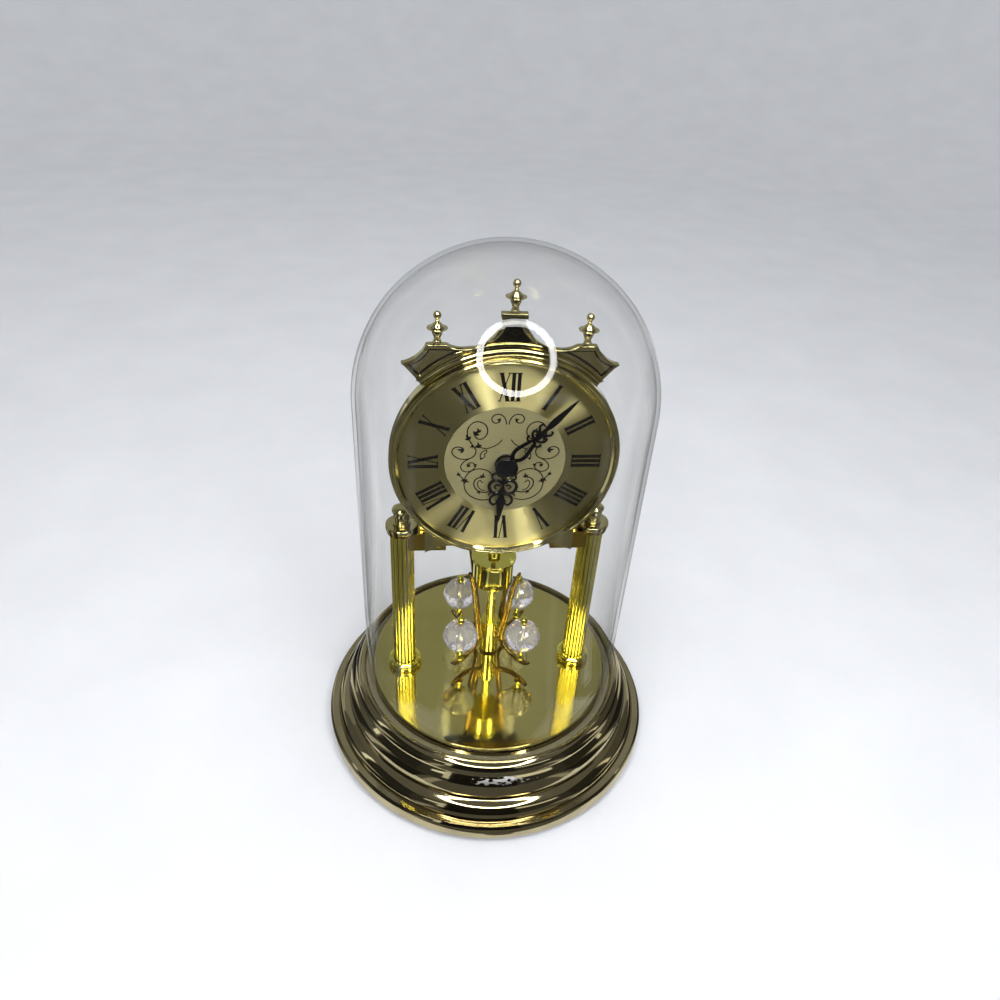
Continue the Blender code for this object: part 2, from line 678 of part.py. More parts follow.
def yoke_outline(side):
    """One foot of the case, from the corner on the bar up into the case's wall."""
    corner = (side * YOKE_HALF_WIDTH, BAR_BOTTOM - DIAL_Z + YOKE_CORNER_UP)
    inner = (side * YOKE_INNER_HALF, BAR_BOTTOM - DIAL_Z + YOKE_INNER_UP)
    middle = CASE_RADIUS - CASE_WALL / 2
    outer_top = (corner[0], -math.sqrt(middle**2 - corner[0] ** 2))
    inner_x = side * YOKE_INNER_HALF * YOKE_INNER_TOP
    inner_top = (inner_x, -math.sqrt(middle**2 - inner_x**2))
    return [corner, inner, inner_top, outer_top]


def make_case(axis):
    inner = CASE_RADIUS - CASE_WALL
    ledge = inner - CASE_LEDGE
    floor = CASE_BACK + CASE_FLOOR
    seat = DIAL_BACK - SEAT
    front = DIAL_FRONT + CASE_LIP
    profile = [(inner, front), (CASE_RADIUS, front), (CASE_RADIUS, CASE_BACK), (CENTRE_HOLE, CASE_BACK)]
    profile += [(CENTRE_HOLE, floor), (ledge, floor), (ledge, seat), (inner, seat)]
    case = turned("dial_case", profile, "pale_brass", DIAL_STEPS, axis)
    front_of_bar = -BAR_FRONT_Y + SEAT
    for side in (-1, 1):
        middle = (0, 0, front_of_bar + YOKE_THICKNESS / 2)
        foot = flat_piece("yoke", [yoke_outline(side)], YOKE_THICKNESS, None, axis, middle)
        combine(case, foot, "UNION")

    hole = circle(CENTRE_HOLE, ROUND_STEPS)
    disc = [circle(inner - SEAT, DIAL_STEPS), hole]
    flat_piece("dial_plate", disc, DIAL_THICKNESS, "dial", axis, (0, 0, DIAL_FRONT - DIAL_THICKNESS / 2))

    lip = DIAL_FRONT + SEAT
    flange = front + SEAT
    crown = flange + BEZEL_PROUD
    bezel = [(BEZEL_OPENING, crown - BEZEL_BEVEL), (BEZEL_OPENING + BEZEL_BEVEL, crown)]
    bezel += [(BEZEL_RADIUS - BROKEN_EDGE, crown - BROKEN_EDGE), (BEZEL_RADIUS, flange + BROKEN_EDGE)]
    bezel += [(BEZEL_RADIUS, flange), (inner - SEAT, flange), (inner - SEAT, lip), (BEZEL_OPENING, lip)]
    turned("bezel", bezel, "pale_brass", DIAL_STEPS, axis)


def pediment_half():
    """Right half of the outline: plinth, tower side, saddle, wing and the arc that fits the case."""
    base = CASE_RADIUS + SEAT
    level = base
    tower_top = level + TOWER_RISE - PLINTH_HEIGHT
    shoulder = (SHOULDER_X, level + SHOULDER_RISE)
    saddle = (SADDLE_X, level + SADDLE_RISE)
    wing_in = (WING_TOP_INNER_X, level + WING_RISE)
    wing_out = (WING_TOP_OUTER_X, level + WING_RISE)
    tip = (WING_TIP_X, level - WING_TIP_DROP)
    foot = (WING_FOOT_X, math.sqrt(base**2 - WING_FOOT_X**2))
    points = [(0, level + TOWER_RISE), (PLINTH_HALF, level + TOWER_RISE), (PLINTH_HALF, tower_top)]
    points += arc((TOWER_TOP_HALF, tower_top - PLINTH_COVE), shoulder, -TOWER_SWEEP, 5)
    points += [saddle]
    points += arc(wing_in, wing_out, WING_CROWN, 2)
    points += arc(wing_out, tip, -WING_SWEEP, 4)[1:]
    sag = base - math.sqrt((base**2 + foot[1] * base) / 2)
    points += arc(foot, (0, base), -sag, 8)
    return points


def wing_panel(side):
    base = CASE_RADIUS + SEAT + COVE_WIDTH
    level = CASE_RADIUS + SEAT
    border = PEDIMENT_BORDER
    inner = (SADDLE_X, math.sqrt(base**2 - SADDLE_X**2) + border * 0.1)
    top_in = (WING_TOP_INNER_X, level + WING_RISE - border)
    top_out = (WING_TOP_OUTER_X - border * 0.5, level + WING_RISE - border)
    tip = (WING_TIP_X - border * 1.5, level - WING_TIP_DROP - border * 0.3)
    foot_x = WING_FOOT_X + border * 0.6
    foot = (foot_x, math.sqrt(base**2 - foot_x**2))
    points = [inner, top_in, top_out] + arc(top_out, tip, -WING_SWEEP * 0.85, 3)[1:]
    points += arc(foot, inner, -WING_SWEEP * 0.7, 4)[:-1]
    return [(side * x, y) for x, y in points]


def tower_panel():
    base = CASE_RADIUS + SEAT + COVE_WIDTH
    top = CASE_RADIUS + SEAT + TOWER_RISE - PLINTH_HEIGHT - PEDIMENT_BORDER * 0.6
    low_x = SHOULDER_X - PEDIMENT_BORDER * 1.4
    low = (low_x, math.sqrt(base**2 - low_x**2))
    high = (TOWER_TOP_HALF - PEDIMENT_BORDER * 0.7, top)
    return mirrored([(0, top), high] + arc(high, low, -TOWER_SWEEP * 0.7, 4)[1:] + [(0, base)])


def finial_profile():
    """Ball, bead, bell, flange, vase and foot, from the top down."""
    return [(FINIAL_FLANGE * out, FINIAL_HEIGHT * up) for out, up in FINIAL_SHAPE]


def make_pediment(axis):
    front = PEDIMENT_BACK + PEDIMENT_DEPTH
    middle = (0, 0, PEDIMENT_BACK + PEDIMENT_DEPTH / 2)
    pediment = flat_piece("pediment", [mirrored(pediment_half())], PEDIMENT_DEPTH, "pale_brass", axis, middle)
    panels = (("panel_left", wing_panel(-1)), ("panel_right", wing_panel(1)), ("panel_tower", tower_panel()))
    for name, outline in panels:
        cutter = flat_piece(name, [outline], 2 * PANEL_DEPTH, None, axis, (0, 0, front))
        combine(pediment, cutter, "DIFFERENCE")

    level = DIAL_Z + CASE_RADIUS + SEAT
    wing = level + WING_RISE + WING_CROWN + SEAT
    for name, x, z in (
        ("finial_left", -FINIAL_X, wing),
        ("finial_top", 0, level + TOWER_RISE + SEAT),
        ("finial_right", FINIAL_X, wing),
    ):
        turned(name, finial_profile(), "gold", SMALL_STEPS, None, (x, -middle[2], z))


def make_bracket(axis):
    """An upright plate with two feet on the bar. The drive case stands between the feet."""
    half = BRACKET_HALF_WIDTH
    low = BAR_TOP + SEAT
    top = DIAL_Z + BRACKET_ABOVE_DIAL
    front = -BRACKET_FRONT
    back = front + BRACKET_THICKNESS
    flange_back = back + BRACKET_FLANGE
    flange_top = low + BRACKET_THICKNESS
    gap = DRIVE_HALF_WIDTH + SEAT
    bracket = block("movement_bracket", (-half, front, low), (half, flange_back, top), "pale_brass")
    over_feet = block("over_feet", (-2 * half, back, flange_top), (2 * half, 2 * flange_back, 2 * top), None)
    between = block("between_feet", (-gap, back, 0), (gap, 2 * flange_back, top), None)
    hole = rod("arbor_hole", CENTRE_HOLE, 0, 2 * CASE_BACK, None, ROUND_STEPS, axis)
    for cutter in (over_feet, between, hole):
        combine(bracket, cutter, "DIFFERENCE")


def make_housing(axis):
    half = HOUSING_WIDTH / 2
    wall = HOUSING_WALL
    front = HOUSING_FRONT
    rear = HOUSING_REAR
    low = (-half, -HOUSING_BOTTOM, rear)
    housing = block("movement_housing", low, (half, HOUSING_TOP, front), "movement", axis)
    past = rear - wall
    inside = front - wall
    low = (-half + wall, ROOM_BOTTOM, past)
    room = block("gear_room", low, (half - wall, HOUSING_TOP - wall, inside), None, axis)
    bay_low = -HOUSING_BOTTOM + wall
    low = (-BAY_LENGTH / 2, bay_low, past)
    bay = block("bay", low, (BAY_LENGTH / 2, bay_low + BAY_HEIGHT, inside), None, axis)
    hole = rod("pipe_hole", PIPE_RADIUS + RUNNING, 0, 2 * front, None, ROUND_STEPS, axis)
    for cutter in (room, bay, hole):
        combine(housing, cutter, "DIFFERENCE")

    low = (-half + wall + SEAT, ROOM_BOTTOM + SEAT, rear)
    high = (half - wall - SEAT, HOUSING_TOP - wall - SEAT, COVER_FRONT)
    cover = block("movement_cover", low, high, "movement", axis)
    knob_hole = rod("knob_hole", ARBOR_RADIUS + RUNNING, past, front, None, SMALL_STEPS, axis)
    knob_hole.location = (0, GEAR_DISTANCE, 0)
    combine(cover, knob_hole, "DIFFERENCE")

    board_x = half - wall - SEAT - BOARD_WIDTH
    board_low = (board_x, ROOM_BOTTOM + SEAT, inside - SEAT - BOARD_THICKNESS)
    board_high = (board_x + BOARD_WIDTH, ROOM_BOTTOM + SEAT + BOARD_HEIGHT, inside - SEAT)
    block("circuit_board", board_low, board_high, "board", axis)
    coil_x = -half + wall + SEAT + COIL_RADIUS
    coil = (coil_x, HOUSING_TOP - wall - SEAT - COIL_LENGTH, inside - SEAT - COIL_RADIUS)
    rod("stepper_coil", COIL_RADIUS, 0, COIL_LENGTH, "copper", SMALL_STEPS, axis, coil, (-math.pi / 2, 0, 0))


def make_battery():
    """A pencil cell on its side in the bay at the back. It slides out backwards."""
    z = DIAL_Z - HOUSING_BOTTOM + HOUSING_WALL + BAY_HEIGHT / 2
    y = -(HOUSING_FRONT - HOUSING_WALL - BATTERY_PLAY - BATTERY_RADIUS)
    left = -(BATTERY_LENGTH + BATTERY_PIP) / 2
    pip = BATTERY_PIP_RADIUS
    top = BATTERY_LENGTH + BATTERY_PIP
    profile = [(0, top), (pip, top), (pip, BATTERY_LENGTH), (BATTERY_RADIUS, BATTERY_LENGTH)]
    profile += [(BATTERY_RADIUS, 0), (0, 0)]
    cell = turned("battery", profile, "battery", ROUND_STEPS, None, (left, y, z))
    cell.rotation_euler = (0, math.pi / 2, 0)


def make_motion_work(axis):
    """The cannon turns the setting wheel, whose pinion turns the hour wheel at a twelfth of the speed."""
    up = math.pi / 2
    setting_axis = add_empty("setting_axis", (0, 0, DIAL_Z + GEAR_DISTANCE), (math.pi / 2, 0, 0))
    setting_middle = SETTING_GEAR_FRONT - GEAR_THICKNESS / 2
    hour_middle = HOUR_GEAR_FRONT - GEAR_THICKNESS / 2

    place = (0, 0, setting_middle)
    outline = [gear_outline(CANNON_TEETH, up)]
    cannon = flat_piece("minute_arbor", outline, GEAR_THICKNESS, "steel", axis, place)
    arbor_front = HAND_CAP_BACK + HAND_CAP_HEIGHT - 2 * HAND_THICKNESS - setting_middle
    arbor_rear = COVER_FRONT + RUNNING - setting_middle
    shaft = rod("minute_shaft", ARBOR_RADIUS, arbor_rear, arbor_front, None, SMALL_STEPS, axis)
    shaft.location = (0, 0, setting_middle)
    combine(cannon, shaft, "UNION")

    outline = [gear_outline(HOUR_TEETH, up)]
    wheel = flat_piece("hour_wheel", outline, GEAR_THICKNESS, "nylon", axis, (0, 0, hour_middle))
    pipe_front = HOUR_HAND_BACK + HAND_THICKNESS
    pipe = rod("hour_pipe", PIPE_RADIUS, hour_middle, pipe_front, None, ROUND_STEPS, axis)
    combine(wheel, pipe, "UNION")
    bore = rod("pipe_bore", PIPE_BORE, SETTING_GEAR_FRONT, 2 * pipe_front, None, SMALL_STEPS, axis)
    combine(wheel, bore, "DIFFERENCE")

    half_gap = math.pi / SETTING_TEETH
    outline = [gear_outline(SETTING_TEETH, -up + half_gap)]
    setting = flat_piece("setting_wheel", outline, GEAR_THICKNESS, "nylon", setting_axis, place)
    half_gap = math.pi / PINION_TEETH
    lap = SETTING_GEAR_FRONT - GEAR_THICKNESS / 2
    outline = [gear_outline(PINION_TEETH, -up + half_gap)]
    place = (0, 0, (HOUR_GEAR_FRONT + lap) / 2)
    pinion = flat_piece("setting_pinion", outline, HOUR_GEAR_FRONT - lap, None, setting_axis, place)
    combine(setting, pinion, "UNION")
    knob_middle = HOUSING_REAR - RUNNING - KNOB_LENGTH / 2
    high = HOUR_GEAR_FRONT - RUNNING
    stem = rod("setting_stem", ARBOR_RADIUS, knob_middle, high, None, SMALL_STEPS, setting_axis)
    combine(setting, stem, "UNION")
    knob = [circle(KNOB_RADIUS, ROUND_STEPS)]
    knob = flat_piece("setting_knob", knob, KNOB_LENGTH, "movement", setting_axis, (0, 0, knob_middle))
    low = knob_middle - SEAT
    socket = rod("knob_socket", ARBOR_RADIUS + SEAT, low, DIAL_FRONT, None, SMALL_STEPS, setting_axis)
    combine(knob, socket, "DIFFERENCE")


def hand_outline(length, swell):
    """A serpentine hand: boss, swelling body, narrow neck and a long point."""
    boss = HAND_BOSS_RADIUS
    neck = HAND_NECK
    right = [(0, length), (neck * 0.4, length * 0.68), (neck * 1.6, length * 0.62)]
    right += [(neck * 0.7, length * 0.56), (swell * 0.75, length * 0.47), (swell, length * 0.38)]
    right += [(swell * 0.8, length * 0.30), (neck * 2.2, length * 0.24), (neck * 1.2, boss * 1.02)]
    lower = arc(right[-1], (0, -boss), boss * 1.02, 7)[1:]
    return mirrored(right + lower)


def make_hands(axis):
    minute_turn = -2 * math.pi * SHOWN_MINUTE / 60
    hour_turn = -2 * math.pi * (SHOWN_HOUR + SHOWN_MINUTE / 60) / 12
    for name, length, swell, hole, back, turn in (
        ("hour_hand", HOUR_LENGTH, SHORT_SWELL, PIPE_RADIUS + SEAT, HOUR_HAND_BACK, hour_turn),
        ("minute_hand", MINUTE_LENGTH, LONG_SWELL, ARBOR_RADIUS + SEAT, MINUTE_HAND_BACK, minute_turn),
    ):
        outline = hand_outline(length, swell)
        opening = [(x * 0.5, y) for x, y in circle(length * 0.075, 8)]
        opening = [(x, y + length * 0.385) for x, y in opening]
        outlines = [outline, circle(hole, SMALL_STEPS), opening]
        middle = (0, 0, back + HAND_THICKNESS / 2)
        flat_piece(name, outlines, HAND_THICKNESS, "black", axis, middle, (0, 0, turn))

    bore = ARBOR_RADIUS + SEAT
    radius = HAND_BOSS_RADIUS
    depth = HAND_CAP_HEIGHT
    roof = HAND_CAP_BACK + depth
    inner_roof = roof - HAND_THICKNESS
    edge = HAND_CAP_EDGE
    cap = [(0, roof), (radius - edge, roof), (radius, roof - edge), (radius, HAND_CAP_BACK)]
    cap += [(bore, HAND_CAP_BACK), (bore, inner_roof), (0, inner_roof)]
    turned("hand_cap", cap, "black", ROUND_STEPS, axis)


def arm_outline():
    """The lyre arm in its radial plane, as (distance from the axis, height over the tube's foot)."""
    rise = DRUM_TOP - TUBE_BOTTOM - ARM_HUB_UP
    centre = [(DRUM_RADIUS * out, ARM_HUB_UP + rise * share) for out, share in ARM_BLADE]
    centre += [(TUBE_RADIUS * out, ARM_HUB_UP + rise * share) for out, share in ARM_SHANK]
    centre += [(TUBE_RADIUS + ARM_HEEL[0], ARM_FOOT_UP + ARM_HEEL[1])]
    centre += [(CRYSTAL_OUT + out, ARM_FOOT_UP + up) for out, up in ARM_REACH]
    points = [Vector(point) for point in centre]
    last = len(points) - 1
    outer = []
    inner = []
    for step, point in enumerate(points):
        along = points[min(step + 1, last)] - points[max(step - 1, 0)]
        left = Vector((-along.y, along.x)).normalized()
        half = ARM_BAR / 2 if 0 < step < last else ARM_BAR / 6
        outer.append(point + left * half)
        inner.append(point - left * half)
    hub_step = len(ARM_BLADE) + len(ARM_SHANK) - 1
    tab = [Vector((TUBE_RADIUS + SEAT, points[hub_step].y + ARM_BAR / 2))]
    tab.append(Vector((TUBE_RADIUS + SEAT, points[hub_step].y - ARM_BAR / 2)))
    inner[hub_step:hub_step + 1] = tab
    return [tuple(point) for point in outer + inner[::-1]]


def make_crystal(number, spoke):
    low = -CRYSTAL_RADIUS * CRYSTAL_END
    high = CRYSTAL_RADIUS * CRYSTAL_END
    bore = PIN_RADIUS + SEAT
    radius = CRYSTAL_RADIUS
    outer = [(radius * 0.34, high), (radius * 0.78, high * 0.62), (radius, high * 0.16)]
    outer += [(radius, -high * 0.16), (radius * 0.78, -high * 0.62), (radius * 0.34, low)]
    profile = [(bore, high)] + outer + [(bore, low)]
    height = TUBE_BOTTOM + CRYSTAL_UP
    place = (CRYSTAL_OUT, 0, height)
    turned("crystal_" + number, profile, "crystal", CRYSTAL_SIDES, spoke, place, flat=True)

    arm_top = TUBE_BOTTOM + ARM_FOOT_UP - ARM_DIP + ARM_BAR / 2 + SEAT - height
    seat_top = low - SEAT
    head_low = high + SEAT
    head = PIN_HEAD_RADIUS
    seat = PIN_SEAT_RADIUS
    foot = PIN_SEAT_RADIUS * 0.9
    pin = arc((0, head_low + 2 * head), (PIN_RADIUS, head_low), head, 5)
    pin += [(PIN_RADIUS, seat_top), (seat, seat_top - PIN_SEAT_EDGE), (seat, seat_top - PIN_SEAT_HEIGHT)]
    pin += [(PIN_RADIUS, seat_top - PIN_WAIST_DROP), (foot, arm_top + PIN_FOOT_HEIGHT)]
    pin += [(foot, arm_top), (0, arm_top)]
    turned("crystal_pin_" + number, pin, "gold", SMALL_STEPS - 2, spoke, place)


def make_pendulum():
    axis = add_empty("pendulum_axis", (0, PENDULUM_Y, 0))
    bore = PENDULUM_BORE
    rod_low = TUBE_TOP - ROD_SOCKET
    rod_high = SAUCER_BOTTOM + SAUCER_HEIGHT / 2
    edge = BROKEN_EDGE
    tube = [(0, rod_low - SEAT), (bore, rod_low - SEAT), (bore, TUBE_TOP), (TUBE_RADIUS - edge, TUBE_TOP)]
    tube += [(TUBE_RADIUS, TUBE_TOP - edge), (TUBE_RADIUS, TUBE_BOTTOM), (0, TUBE_BOTTOM)]
    turned("pendulum_tube", tube, "gold", ROUND_STEPS, axis)
    rod("pendulum_rod", PENDULUM_ROD_RADIUS, rod_low, rod_high, "gold", SMALL_STEPS, axis)

    drum = [(bore, DRUM_TOP), (DRUM_RADIUS - edge, DRUM_TOP), (DRUM_RADIUS, DRUM_TOP - edge)]
    drum += [(DRUM_RADIUS, DRUM_BOTTOM + edge), (DRUM_RADIUS - edge, DRUM_BOTTOM), (bore, DRUM_BOTTOM)]
    turned("pendulum_drum", drum, "gold", ROUND_STEPS, axis)

    socket = SPINDLE_RADIUS + SEAT
    floor = SPINDLE_BOTTOM - SEAT
    saucer = [(NECK_RADIUS, NECK_TOP), (NECK_RADIUS, SAUCER_TOP + edge), (SAUCER_RADIUS, SAUCER_TOP)]
    saucer += [(SAUCER_RADIUS, SAUCER_TOP - SAUCER_EDGE), (DRUM_RADIUS + edge, SAUCER_BOTTOM)]
    saucer += [(bore, SAUCER_BOTTOM), (bore, rod_high + SEAT), (0, rod_high + SEAT)]
    body = turned("pendulum_disc", [(0, NECK_TOP)] + saucer, "gold", ROUND_STEPS, axis)
    hole = rod("spindle_socket", socket, floor, 2 * NECK_TOP, None, SMALL_STEPS, axis)
    combine(body, hole, "DIFFERENCE")

    magnet_top = MAGNET_BOTTOM + MAGNET_THICKNESS
    spindle = [(0, magnet_top), (MAGNET_RADIUS, magnet_top), (MAGNET_RADIUS, MAGNET_BOTTOM)]
    spindle += [(SPINDLE_RADIUS, MAGNET_BOTTOM), (SPINDLE_RADIUS, SPINDLE_BOTTOM), (0, SPINDLE_BOTTOM)]
    turned("pendulum_spindle", spindle, "steel", SMALL_STEPS + 2, axis)

    for step in range(ARMS):
        number = str(step + 1)
        turn = PENDULUM_TURN + step * 2 * math.pi / ARMS
        spoke = add_empty("spoke_" + number, (0, 0, 0), (0, 0, turn))
        spoke.parent = axis
        middle = (0, 0, TUBE_BOTTOM)
        outline = [arm_outline()]
        upright = (math.pi / 2, 0, 0)
        flat_piece("pendulum_arm_" + number, outline, ARM_THICKNESS, "gold", spoke, middle, upright)
        make_crystal(number, spoke)


def make_drive_case():
    wall = HOUSING_WALL
    half = DRIVE_HALF_WIDTH
    front_y = -HOUSING_FRONT
    rear_y = -HOUSING_REAR
    case = block("drive_case", (-half, front_y, DRIVE_BOTTOM), (half, rear_y, DRIVE_TOP), "movement")
    low = (-half + wall, front_y + wall, DRIVE_BOTTOM + wall)
    high = (half - wall, rear_y - wall, 2 * DRIVE_TOP)
    combine(case, block("drive_room", low, high, None), "DIFFERENCE")
    hole = rod("spindle_hole", SPINDLE_RADIUS + 2 * RUNNING, BAR_BOTTOM, 2 * DRIVE_TOP, None, SMALL_STEPS)
    hole.location = (0, PENDULUM_Y, 0)
    combine(case, hole, "DIFFERENCE")
    place = (DRIVE_COIL_OUT, PENDULUM_Y, DRIVE_BOTTOM + wall + SEAT + DRIVE_COIL_RADIUS)
    half_coil = DRIVE_COIL_LENGTH / 2
    lying = (math.pi / 2, 0, 0)
    rod("drive_coil", DRIVE_COIL_RADIUS, -half_coil, half_coil, "copper", SMALL_STEPS, None, place, lying)


def main():
    make_base()
    make_dome()
    make_column(-1, "left")
    make_column(1, "right")
    axis = dial_axis()
    make_bridge(axis)
    make_case(axis)
    make_pediment(axis)
    make_bracket(axis)
    make_housing(axis)
    make_battery()
    make_motion_work(axis)
    make_hands(axis)
    make_drive_case()
    make_pendulum()


main()
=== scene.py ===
"""Dome pendulum clock: the finished surfaces, the light and the camera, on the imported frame.

Metres, +Z up, the dial faces -Y. Sizes are those of the solids that each piece stands for.
"""

import json
import math

import bmesh
import bpy
from mathutils import Matrix, Vector

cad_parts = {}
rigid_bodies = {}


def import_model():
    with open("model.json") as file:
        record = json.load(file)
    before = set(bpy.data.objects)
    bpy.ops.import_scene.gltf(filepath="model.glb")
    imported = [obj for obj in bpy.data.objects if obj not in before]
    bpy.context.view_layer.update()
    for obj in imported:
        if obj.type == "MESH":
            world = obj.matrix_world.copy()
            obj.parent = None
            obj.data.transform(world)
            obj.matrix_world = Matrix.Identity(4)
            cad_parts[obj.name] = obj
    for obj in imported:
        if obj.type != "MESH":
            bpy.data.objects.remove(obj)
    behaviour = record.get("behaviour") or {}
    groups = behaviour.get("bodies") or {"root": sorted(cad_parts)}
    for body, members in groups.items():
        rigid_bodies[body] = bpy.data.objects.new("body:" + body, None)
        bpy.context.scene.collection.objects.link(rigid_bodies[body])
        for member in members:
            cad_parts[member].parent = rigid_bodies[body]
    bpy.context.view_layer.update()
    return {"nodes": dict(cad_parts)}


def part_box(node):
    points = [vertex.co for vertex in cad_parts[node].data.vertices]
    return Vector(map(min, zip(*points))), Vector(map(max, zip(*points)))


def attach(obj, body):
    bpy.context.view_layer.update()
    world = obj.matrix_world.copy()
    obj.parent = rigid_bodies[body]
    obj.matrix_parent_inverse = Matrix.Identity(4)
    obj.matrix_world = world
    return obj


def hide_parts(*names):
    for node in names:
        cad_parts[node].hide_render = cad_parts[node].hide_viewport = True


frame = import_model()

MM = 0.001
TURN = 2 * math.pi
UNMOVED = Matrix.Identity(4)


def spans(node):
    """Half the width of a node, its lowest and its highest point."""
    low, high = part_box(node)
    return (high.x - low.x) / 2, low.z, high.z


def depths(node):
    """The back and the front of a node, counted towards the viewer."""
    low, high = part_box(node)
    return -high.y, -low.y


def centre_of(node):
    low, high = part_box(node)
    return (low + high) / 2


# Steps round a turned piece
LARGE_STEPS = 256
MEDIUM_STEPS = 128
SMALL_STEPS = 64
SHARP = 32  # Degrees between faces from which an edge stays an edge

# Base
BASE_RADIUS, _, RIM_TOP = spans("base_shell")
PLATE_RADIUS, PLATE_BOTTOM, _ = spans("base_plate")
DOME_RADIUS, DOME_BOTTOM, DOME_TOP = spans("glass_dome")
DOME_PLAY = 1.3 * MM
DOME_WALL = DOME_RADIUS - PLATE_RADIUS - DOME_PLAY
GASKET_PLAY = 0.9 * MM
CHANNEL_FLOOR = DOME_BOTTOM - 1.4 * MM
RIM_INNER = DOME_RADIUS + DOME_PLAY
RIM_WIDTH = 2.0 * MM
DECK_TOP = PLATE_BOTTOM - 0.3 * MM
DECK_RADIUS = PLATE_RADIUS - 0.4 * MM
DECK_HOLE = 14.0 * MM
SHELL_WALL = 0.8 * MM
RIDGES = ((2.7, 4.6, 0.8), (3.5, 10.8, 1.5), (5.4, 6.5, 1.3))  # Out, down and bulge, in mm
FOOT_IN = 2.6 * MM
FOOT_WIDTH = 4.5 * MM

# Columns
REEDS = 16
REED_POINTS = 12
REED_DEPTH = 0.45 * MM
ROD_HOLE = 1.8 * MM
COLUMN_RADIUS = spans("column_left")[0]
COLLAR_RADIUS = spans("column_foot_left")[0]
CAPITAL_RADIUS = spans("capital_left")[0]
CAP_NUT_RADIUS = spans("cap_nut_left")[0]

# Dial, in its own frame: X right, Y up, Z out of the dial
DIAL_Z = centre_of("dial_plate").z
DIAL_FRAME = Matrix.Translation((0, 0, DIAL_Z)) @ Matrix.Rotation(math.pi / 2, 4, "X")
DIAL_RADIUS = spans("dial_plate")[0]
DIAL_BACK, DIAL_FRONT = depths("dial_plate")
CENTRE_DISC = 22.9 * MM
CENTRE_HOLE = 3.2 * MM
CASE_RADIUS, CASE_LOW, _ = spans("dial_case")
CASE_BACK, CASE_FRONT = depths("dial_case")
CASE_WALL = 1.3 * MM
BEZEL_OUTER = spans("bezel")[0]
BEZEL_INNER = BEZEL_OUTER - 2.5 * MM
BEZEL_FRONT = depths("bezel")[1]
BEZEL_LIP = 10.3 * MM  # The level where its inner edge ends over the dial
BEZEL_FLANGE = 11.2 * MM  # The level where it sits on the case
FOOT_BACK = 7.8 * MM
FOOT_FRONT = 9.0 * MM
FOOT_OUTER = 30.2 * MM
FOOT_INNER = 21.5 * MM
FOOT_TOP_INNER = 19.4 * MM
FOOT_CORNER_RISE = 3.8 * MM

# Printing on the dial
PRINT = 0.04 * MM
NUMERAL_HEIGHT = 11.2 * MM
NUMERAL_RADIUS = 30.8 * MM
THICK_STROKE = 1.35 * MM
THIN_STROKE = 0.38 * MM
STROKE_CHAMFER = 0.45
SERIF = 0.34 * MM
SERIF_LAP = 0.35 * MM
LETTER_PLAY = 0.1 * MM
LETTER_WIDTHS = {"I": 2.0 * MM, "V": 3.9 * MM, "X": 4.2 * MM}
NUMERALS = ("XII", "I", "II", "III", "IIII", "V", "VI", "VII", "VIII", "IX", "X", "XI")

# Hands
SHOWN_HOUR = 6
SHOWN_MINUTE = 6.9
HAND_THICKNESS = 0.4 * MM
ARBOR_HOLE = 1.3 * MM
PIPE_HOLE = 2.4 * MM
CAP_RADIUS = spans("hand_cap")[0]
CAP_BACK, CAP_FRONT = depths("hand_cap")

# Pediment, in the dial's frame
ARCH_RADIUS = 43.8 * MM
COVE = 3.2 * MM
COVE_STEPS = 96
PEDIMENT_BACK, PEDIMENT_FRONT = depths("pediment")
PEDIMENT_FLOOR = PEDIMENT_FRONT - 0.8 * MM
PEDIMENT_LAP = 0.3 * MM
PEDIMENT_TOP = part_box("pediment")[1].z - DIAL_Z
BORDER = 1.5 * MM
PLINTH_HALF = 4.5 * MM
PLINTH_LOW = PEDIMENT_TOP - 1.9 * MM
TOWER_TOP_HALF = 3.6 * MM
SHOULDER = (12.4 * MM, ARCH_RADIUS + 1.6 * MM)
SADDLE = (17.5 * MM, ARCH_RADIUS + 1.2 * MM)
WING_INNER = 22.5 * MM
WING_OUTER = 29.5 * MM
WING_TOP = ARCH_RADIUS + 2.7 * MM
WING_TIP = (38.1 * MM, ARCH_RADIUS - 4.2 * MM)
WING_FOOT_X = 30.8 * MM
FINIAL_Y = centre_of("finial_top").y

# Pendulum
PENDULUM_AXIS = Matrix.Translation((0, centre_of("pendulum_tube").y, 0))
PENDULUM_TURN = math.radians(42.2)
ARMS = 4
ARM_THICKNESS = 1.8 * MM
BAR_SIDES = 16
OVAL = 0.6
CRYSTAL_OUT = 19.6 * MM
CRYSTAL_Z = centre_of("crystal_1").z
FACETS = 16

# Camera, as in the photograph
CAMERA_PLACE = Vector((-34.0, -246.9, 297.0)) * MM
CAMERA_YAW = math.radians(7.93)
CAMERA_PITCH = math.radians(35.08)
CAMERA_ROLL = math.radians(3.85)
CAMERA_LENS = 27.05
CAMERA_SENSOR = 36

# Stage and ring lamp
FLOOR_RADIUS = 1.3
BACKDROP_CURVE = 0.9
BACKDROP_HEIGHT = 4.0
BACKDROP_WALL = 0.01
RING_PLACE = Vector((4.3, -300.2, 574.0)) * MM
RING_AIM = Vector((-3.5, -43.2, 204.7)) * MM
RING_MIDDLE = 222 * MM
RING_TUBE = 22 * MM
RING_FLATTENING = 0.15
RING_STRENGTH = 24.0
WEDGE_NEAR = 95  # The wedges on the floor, in mm
WEDGE_FAR = 900
WEDGE_HEIGHT = 0.8


# Outlines

def round_points(centre, radius, turns):
    points = [(radius * math.cos(turn), radius * math.sin(turn)) for turn in turns]
    return [(centre[0] + x, centre[1] + y) for x, y in points]


